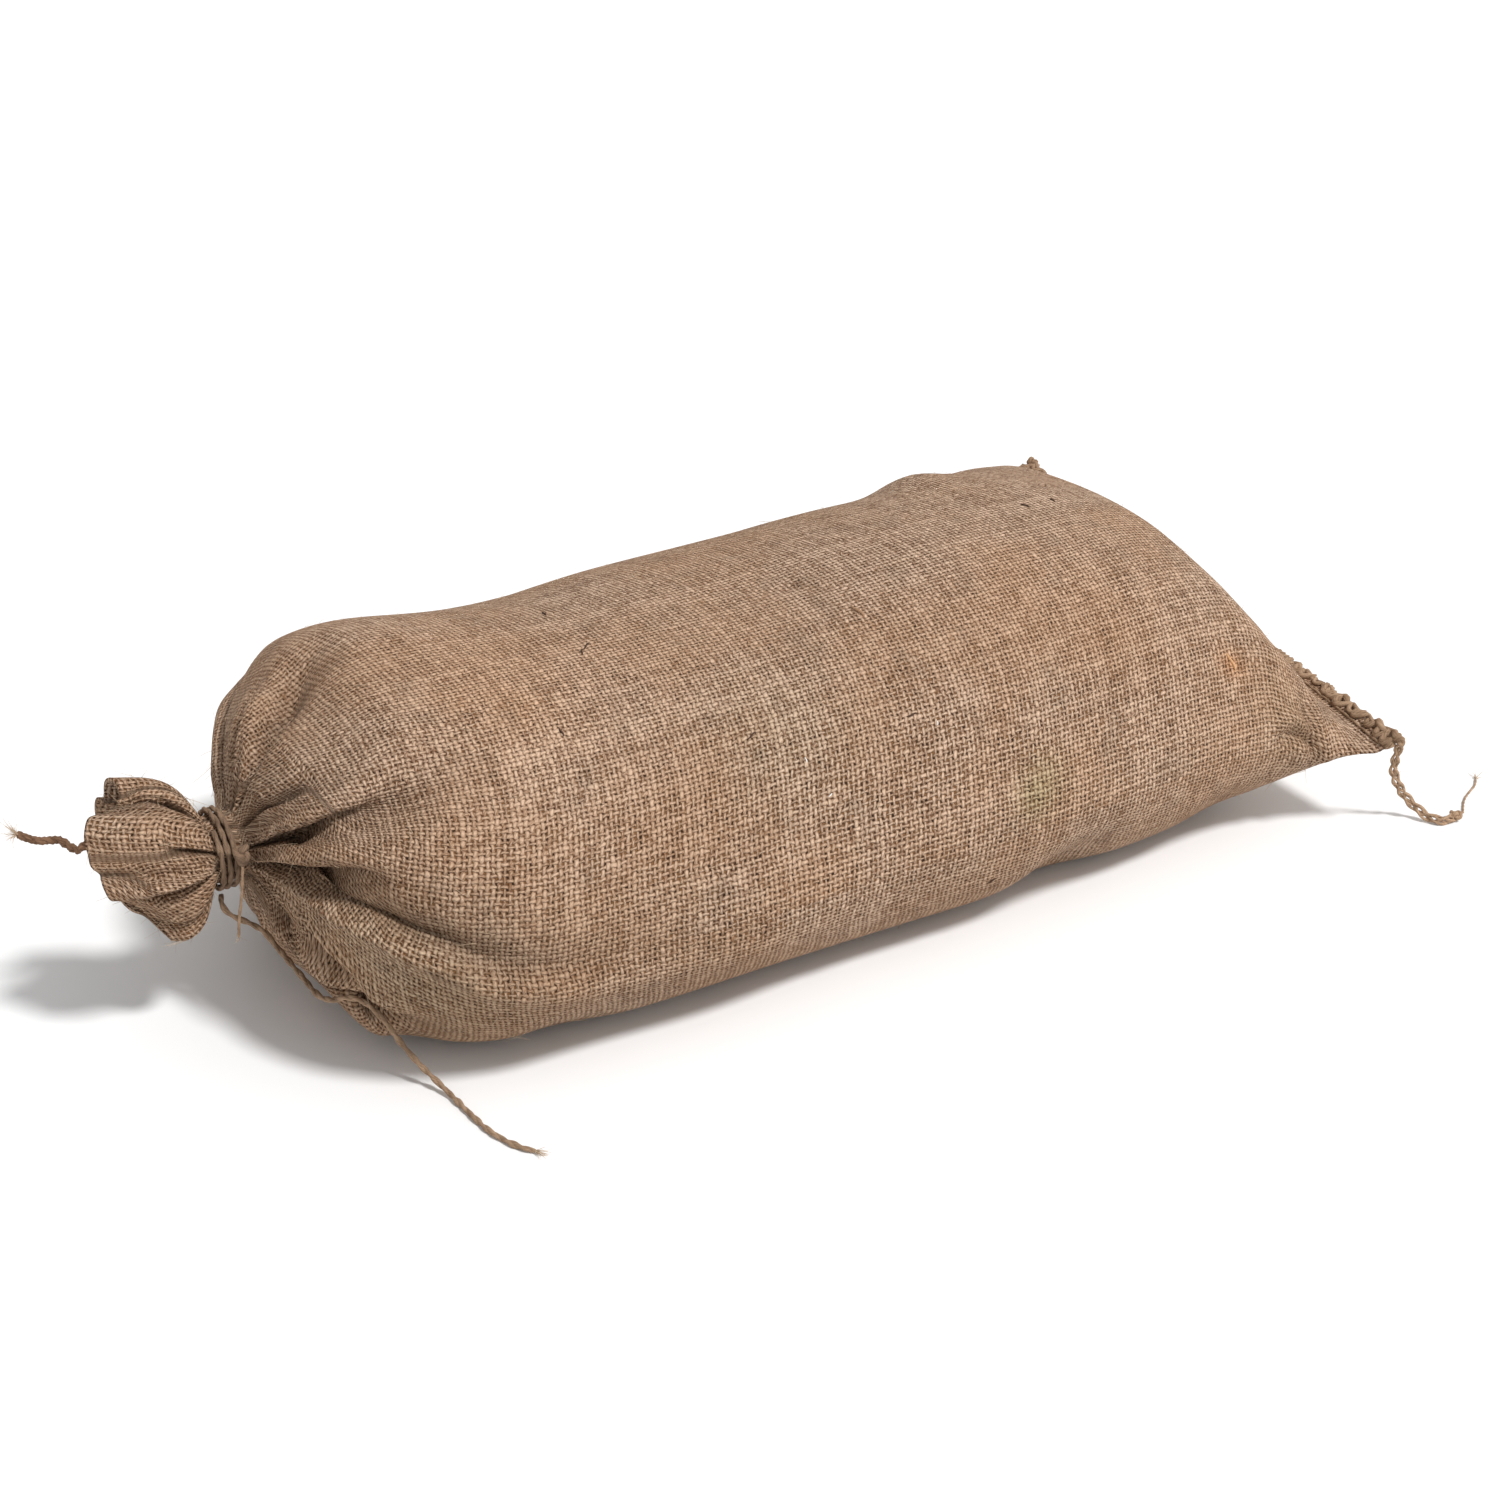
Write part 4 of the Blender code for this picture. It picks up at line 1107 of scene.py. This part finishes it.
class Tubes:
    """Tubes that together make one piece."""

    def __init__(self):
        self.points = []
        self.faces = []
        self.corners = []

    def add(self, line, radius, sides=6):
        """A tube along a line, its radius one number or one for each point."""
        radius = np.broadcast_to(radius, len(line))
        marks = distances(line) / (2 * radius.max())
        turn = 2 * pi * np.arange(sides) / sides
        first = len(self.points)
        for centre, side, up, size in zip(line, *frames(line), radius):
            ring = np.outer(np.cos(turn), side) + np.outer(np.sin(turn), up)
            ring = centre + ring * size
            ring[:, 2] = np.maximum(ring[:, 2], FLOOR + TUBE_CLEAR)
            self.points.extend(ring)
        faces, corners = wall(len(line), sides, first)
        self.faces += faces
        self.corners += [(j / sides, marks[i]) for i, j in corners]
        for row, order in ((0, -1), (len(line) - 1, 1)):
            self.faces.append(tuple(first + row * sides + j for j in range(sides))[::order])
            self.corners.extend([(0.5, marks[row])] * sides)

    def twist(self, route, diameter, turn, plies=2, sides=6, ends=0.7):
        """Plies twisted round each other, one turn in so many diameters."""
        side, up = frames(route)
        along = distances(route)
        swell = 1 + waves(along / diameter, TWINE_WAVES)
        swell *= np.interp(along, (0, diameter, along[-1] - diameter, along[-1]), (ends, 1, 1, ends))
        for ply in range(plies):
            angle = 2 * pi * (along / (turn * diameter) + ply / plies)
            away = diameter * 0.17 * swell
            line = route + side * (away * np.cos(angle))[:, None]
            line = line + up * (away * np.sin(angle))[:, None]
            self.add(line, diameter * 0.33 * swell, sides)

    def braid(self, route, width, strand, pitch, plies=3):
        """Strands plaited flat, as the loops of a chain of stitches look."""
        side, up = frames(route)
        along = distances(route)
        for ply in range(plies):
            angle = 2 * pi * (along / pitch + ply / plies)
            line = route + side * ((width - strand) / 2 * np.sin(angle))[:, None]
            line = line + up * (0.42 * strand * np.sin(2 * angle))[:, None]
            self.add(line, strand / 2 * (1 + 0.10 * np.sin(3.7 * angle)), 7)

    def knot(self, centre, size, strand, tilt):
        """A pulled-tight overhand knot."""
        t = np.linspace(0, 2 * pi, 61)
        shape = np.column_stack([
            np.sin(t) + 2 * np.sin(2 * t), np.cos(t) - 2 * np.cos(2 * t), -1.4 * np.sin(3 * t)
        ]) / 3
        tilt = unit(np.array(tilt))
        first = unit(np.cross(tilt, (0.3, 1.0, 0.2)))
        second = np.cross(tilt, first)
        line = np.array(centre) + (shape @ np.array([first, second, tilt])) * (size - strand) / 2
        self.add(line, strand / 2, 7)

    def fray(self, end, ahead, count, length, spread):
        """Loose fibres at an end."""
        ahead = unit(np.array(ahead))
        for _ in range(count):
            aside = chance.normal(0, 1, 3)
            aside = unit(aside - ahead * (aside @ ahead))
            reach = length * chance.uniform(0.4, 1.0)
            bend = spread * chance.uniform(0.2, 1.0)
            curl = chance.normal(0, 0.25, 3) * reach
            t = np.linspace(0, 1, 6)[:, None]
            line = end + ahead * (reach * t - FIBRE_ROOT)
            line = line + aside * bend * reach * t**1.6 + curl * t**2.5
            line[:, 2] = np.maximum(line[:, 2], FLOOR + 2 * FIBRE)
            self.add(line, FIBRE * np.linspace(1.2, 0.5, 6) * chance.uniform(0.8, 1.6), 3)

    def build(self, name, material, slot):
        return add_mesh(name, self.points, self.faces, material, self.corners)


def make_cord(name, node, route, material, slot, shape):
    """A free end: its strands from shape(tubes, route)."""
    line = smooth_route(route, 0.0009)
    tubes = Tubes()
    shape(tubes, line)
    item = tubes.build(name, material, slot)
    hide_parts(node)
    line_length(line)
    return line


def make_loose_ends(mats):
    def two_ply(tubes, line):
        tubes.twist(line, TWINE, turn=5.6, sides=8)

    def flat_strand(tubes, line):
        tubes.twist(line, SHORT_TWINE, plies=3, turn=14.0)

    def plait(tubes, line):
        tubes.braid(line, TAIL_TWINE * 1.15, 0.0012, 0.0220)
        tubes.braid(line, TAIL_TWINE * 0.85, 0.0010, -0.0130, plies=2)

    def thin(tubes, line):
        tubes.twist(line, STRAND_TWINE, turn=6.0)

    def lumpy(tubes, line):
        tubes.braid(line, MOUTH_TWINE * 1.10, 0.0018, 0.0110)

    tie, tan, sewn = mats["tie"], mats["tie_tan"], mats["sewing"]
    ends = Tubes()
    line = make_cord("tie_long_cord", "tie_long_end", LONG_END, tan, "tie_twine",
                     two_ply)
    ends.fray(line[-1], line[-1] - line[-6], 26, 0.0060, 0.5)
    line = make_cord("tie_short_cord", "tie_short_end", SHORT_END, sewn,
                     "tie_twine", flat_strand)
    ends.fray(line[-1], line[-1] - line[-6], 10, 0.0040, 0.35)
    line = make_cord("seam_tail_cord", "seam_tail", SEAM_TAIL, sewn,
                     "sewing_twine", plait)
    ends.fray(line[len(line) // 3], (0.3, -1.0, 0.2), 8, 0.0040, 0.9)
    line = make_cord("seam_strand_cord", "seam_strand", SEAM_STRAND, sewn,
                     "sewing_twine", thin)
    ends.fray(line[-1], line[-1] - line[-6], 14, 0.0045, 0.8)
    line = make_cord("mouth_tail_cord", "mouth_tail", MOUTH_TAIL, mats["tail"],
                     "sewing_twine", lumpy)
    ahead = line[-1] - line[-8]
    for aside in ((0.0, 0.0, 0.004), (-0.002, 0.0, -0.004), (0.0, 0.004, 0.0)):
        ends.fray(line[-1], unit(ahead) * 0.006 + np.array(aside), 14, 0.0075, 0.30)
    knots = Tubes()
    knots.knot(np.array(SEAM_TAIL[-1]) + (-0.0004, 0.0, 0.0004), 0.0062, 0.0019, (0.2, 0.3, 1.0))
    knots.build("tail_knot", sewn, "sewing_twine")
    ends.build("frayed_tips", mats["fibre"], "sewing_twine")


def make_tie(mats):
    radius = NECK_RADIUS + TWINE / 2 + TIE_CLEAR
    turn = np.linspace(0, TIE_TURNS, int(TIE_TURNS * 72))
    angle = 2 * pi * turn + TIE_ANGLE
    route = np.column_stack([
        TIE_START - TIE_PITCH * turn, -radius * np.cos(angle), NECK_HEIGHT + radius * np.sin(angle)
    ])
    tubes = Tubes()
    tubes.twist(route, TWINE, turn=5.6, sides=8, ends=0.9)
    item = tubes.build("tie_turns", mats["tie"], "tie_twine")
    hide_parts("neck_tie")
    tubes = Tubes()
    tubes.knot(KNOT_PLACE, 0.0078, 0.0023, (0.25, -1.0, 0.2))
    tubes.knot(np.array(KNOT_PLACE) + (0.0002, 0.0010, -0.0022), 0.0066, 0.0021, (0.8, -0.8, 0.6))
    item = tubes.build("tie_knot_loops", mats["tie"], "tie_twine")
    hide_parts("tie_knot")


def on_cloth(grid, row, column):
    """A value of the grid read between its rings and columns."""
    count = grid.shape[1]
    i = np.clip(np.floor(row).astype(int), 0, len(grid) - 2)
    j = np.floor(column).astype(int)
    a, b = (row - i)[:, None], (column - j)[:, None]
    first = grid[i, j % count] * (1 - b) + grid[i, (j + 1) % count] * b
    second = grid[i + 1, j % count] * (1 - b) + grid[i + 1, (j + 1) % count] * b
    return first * (1 - a) + second * a


def overlock(tubes, edge, out, reach_in):
    """Twine looped over an edge. reach_in(inward) gives a point of the cloth and its normal so
    far in from the edge at each point along it, on one side above zero and on the other below."""
    along = distances(edge)
    uneven = 1 + waves(along, SEAM_WAVES)
    wander = waves(along, LOOP_WAVES)
    across = unit(np.cross(np.gradient(edge, axis=0), out))
    for start in (0.0, pi):
        # the chain that lies along the edge
        angle = 2 * pi * along / CHAIN_PITCH + start + waves(along, CHAIN_WAVES)
        line = edge + out * (CHAIN_OUT + CHAIN_HIGH * uneven * np.cos(angle))[:, None]
        line = line + across * (CHAIN_WIDE * uneven * np.sin(angle))[:, None]
        tubes.add(line, CHAIN_TWINE / 2 * uneven, 6)
        # the loops that reach in over the cloth on both sides
        angle = 2 * pi * along / STITCH_PITCH + start + wander * (1 if start else -0.6)
        inward = LOOP_DEPTH * uneven * np.sin(angle)
        base, normal = reach_in(inward)
        line = base + normal * LOOP_LIFT + out * (LOOP_OUT * bell(inward / LOOP_CROSSING))[:, None]
        tubes.add(line, LOOP_TWINE / 2 * uneven, 6)


def stitch_line(tubes, line, normals):
    """A row of stitches that dips into the cloth between them."""
    line = evenly(np.column_stack([line, normals]), int(line_length(line) / STITCH_STEP))
    line, normals = line[:, :3], unit(line[:, 3:])
    lift = STITCH_HIGH * np.abs(np.sin(pi * distances(line) / STITCH)) ** 0.6 - STITCH_SUNK
    tubes.add(line + normals * lift[:, None], STITCH_TWINE / 2, 6)


def edge_line(points, marks):
    """An edge read in even steps, and the mark at each of its points."""
    line = evenly(np.column_stack([points, marks]), int(line_length(points) / EDGE_STEP))
    return line[:, :3], line[:, 3]


def make_seams(mats, grid, places):
    half = PANEL_STEPS
    normals = grid_normals(grid)
    j = np.arange(half + 1)
    low = (2 * half - j) % (2 * half)
    edge, column = edge_line((grid[0][j] + grid[0][low]) / 2, j)

    def into_end(inward):
        row = np.interp(np.abs(inward), places, np.arange(len(places)))
        turned = np.where(inward > 0, column, 2 * half - column)
        return on_cloth(grid, row, turned), on_cloth(normals, row, turned)

    tubes = Tubes()
    overlock(tubes, edge, np.broadcast_to((1.0, 0.0, 0.0), edge.shape), into_end)
    row = int(np.searchsorted(places, STITCH_ROW))
    for columns in (j[2:-2], low[2:-2]):
        stitch_line(tubes, grid[row, columns], normals[row, columns])
    tubes.knot(edge[0] + (0.0006, -0.0004, 0.0), 0.0064, 0.0020, (1.0, -0.3, 0.6))
    tubes.knot(edge[-1] + (0.0004, 0.0006, 0.0006), 0.0062, 0.0018, (0.4, 0.8, 0.6))
    item = tubes.build("bottom_overlock", mats["seam"], "sewing_twine")
    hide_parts("bottom_seam")

    rows = np.flatnonzero((places > SIDE_SEAM[0]) & (places < SIDE_SEAM[1]))
    edge, row_at = edge_line(grid[rows, half], rows)
    out = unit(on_cloth(normals, row_at, np.full(len(edge), float(half))))

    def into_side(inward):
        turned = half - inward / (GIRTH / (2 * half))
        return on_cloth(grid, row_at, turned), on_cloth(normals, row_at, turned)

    tubes = Tubes()
    overlock(tubes, edge, out, into_side)
    for column in (half - STITCH_COLUMNS, half + STITCH_COLUMNS):
        stitch_line(tubes, grid[rows, column], normals[rows, column])
    item = tubes.build("side_overlock", mats["seam"], "sewing_twine")
    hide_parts("side_seam")


def make_hairs(mats, grid):
    """Fibres that stand off the cloth."""
    normals = grid_normals(grid)
    tubes = Tubes()
    rings, count = grid.shape[:2]
    for _ in range(HAIRS):
        i, j = chance.integers(3, rings - 1), chance.integers(0, count)
        start, normal = grid[i, j], normals[i, j]
        if start[2] < HAIR_LOWEST:
            continue
        aside = chance.normal(0, 1, 3)
        aside = unit(aside - normal * (aside @ normal))
        length = chance.uniform(*HAIR_LENGTH)
        lift = chance.uniform(0.05, 0.55) ** 1.6
        curl = chance.normal(0, HAIR_CURL, 3)
        t = np.linspace(0, 1, 5)[:, None]
        line = start + aside * length * t + normal * length * lift * t
        line = line + curl * length * t**2 * (0.3 + lift)
        line = line + normal * 0.0003
        tubes.add(line, np.linspace(1.0, 0.5, 5) * chance.uniform(*HAIR_THICK), 3)
    tubes.build("loose_fibres", mats["fibre"], "jute_cloth")


def make_flecks(mats, grid, places):
    """Bits of bark, thick spots in the yarn, and near-white specks painted as glints."""
    normals = grid_normals(grid)
    groups = {kind: Tubes() for kind in FLECK_THICK}
    for fleck in FLECKS:
        i = int(np.searchsorted(places, fleck.cloth))
        j = int(round(fleck.around * grid.shape[1])) % grid.shape[1]
        normal = normals[i, j]
        along = unit(grid[i, j] - grid[i - 1, j])
        across = np.cross(normal, along)
        turn = radians(fleck.turn)
        way = along * sin(turn) + across * cos(turn)
        t = np.linspace(-0.5, 0.5, 7)[:, None]
        line = grid[i, j] + way * fleck.length * t + normal * (0.0003 - 0.0006 * (2 * t) ** 2)
        line = line + np.cross(normal, way) * fleck.length * 0.10 * np.sin(5 * t)
        radius = FLECK_THICK[fleck.kind] * np.sqrt(1 - (1.8 * t[:, 0]) ** 2)
        groups[fleck.kind].add(line, radius, 6)
    for kind, tubes in groups.items():
        tubes.build("fleck_" + kind, mats[kind], "jute_cloth")


def make_room():
    bpy.ops.mesh.primitive_plane_add(size=FLOOR_SIZE)
    floor = bpy.context.object
    floor.name = "floor"
    s = Shader("floor", 0.9)
    s.surface["Base Color"].default_value = FLOOR_COLOUR
    floor.data.materials.append(s.material)
    world = bpy.data.worlds.new("studio")
    world.use_nodes = True
    sky = world.node_tree.nodes["Background"].inputs
    sky["Color"].default_value = (1.0, 1.0, 1.0, 1.0)
    sky["Strength"].default_value = SKY
    bpy.context.scene.world = world
    for name, (source, width, strength) in SUNS.items():
        make_sun(name, source, width, strength)
    bpy.context.scene.view_settings.view_transform = "Standard"


def build():
    make_camera()
    cloth = woven_cloth()
    mats = {key: twine(*row) for key, row in TWINES.items()}
    mats.update({key: plain_fibre(*row) for key, row in FIBRES.items()})
    make_loose_ends(mats)
    make_tie(mats)
    grid, places = make_bag(cloth)
    make_seams(mats, grid, places)
    make_hairs(mats, grid)
    make_flecks(mats, grid, places)
    make_room()


build()
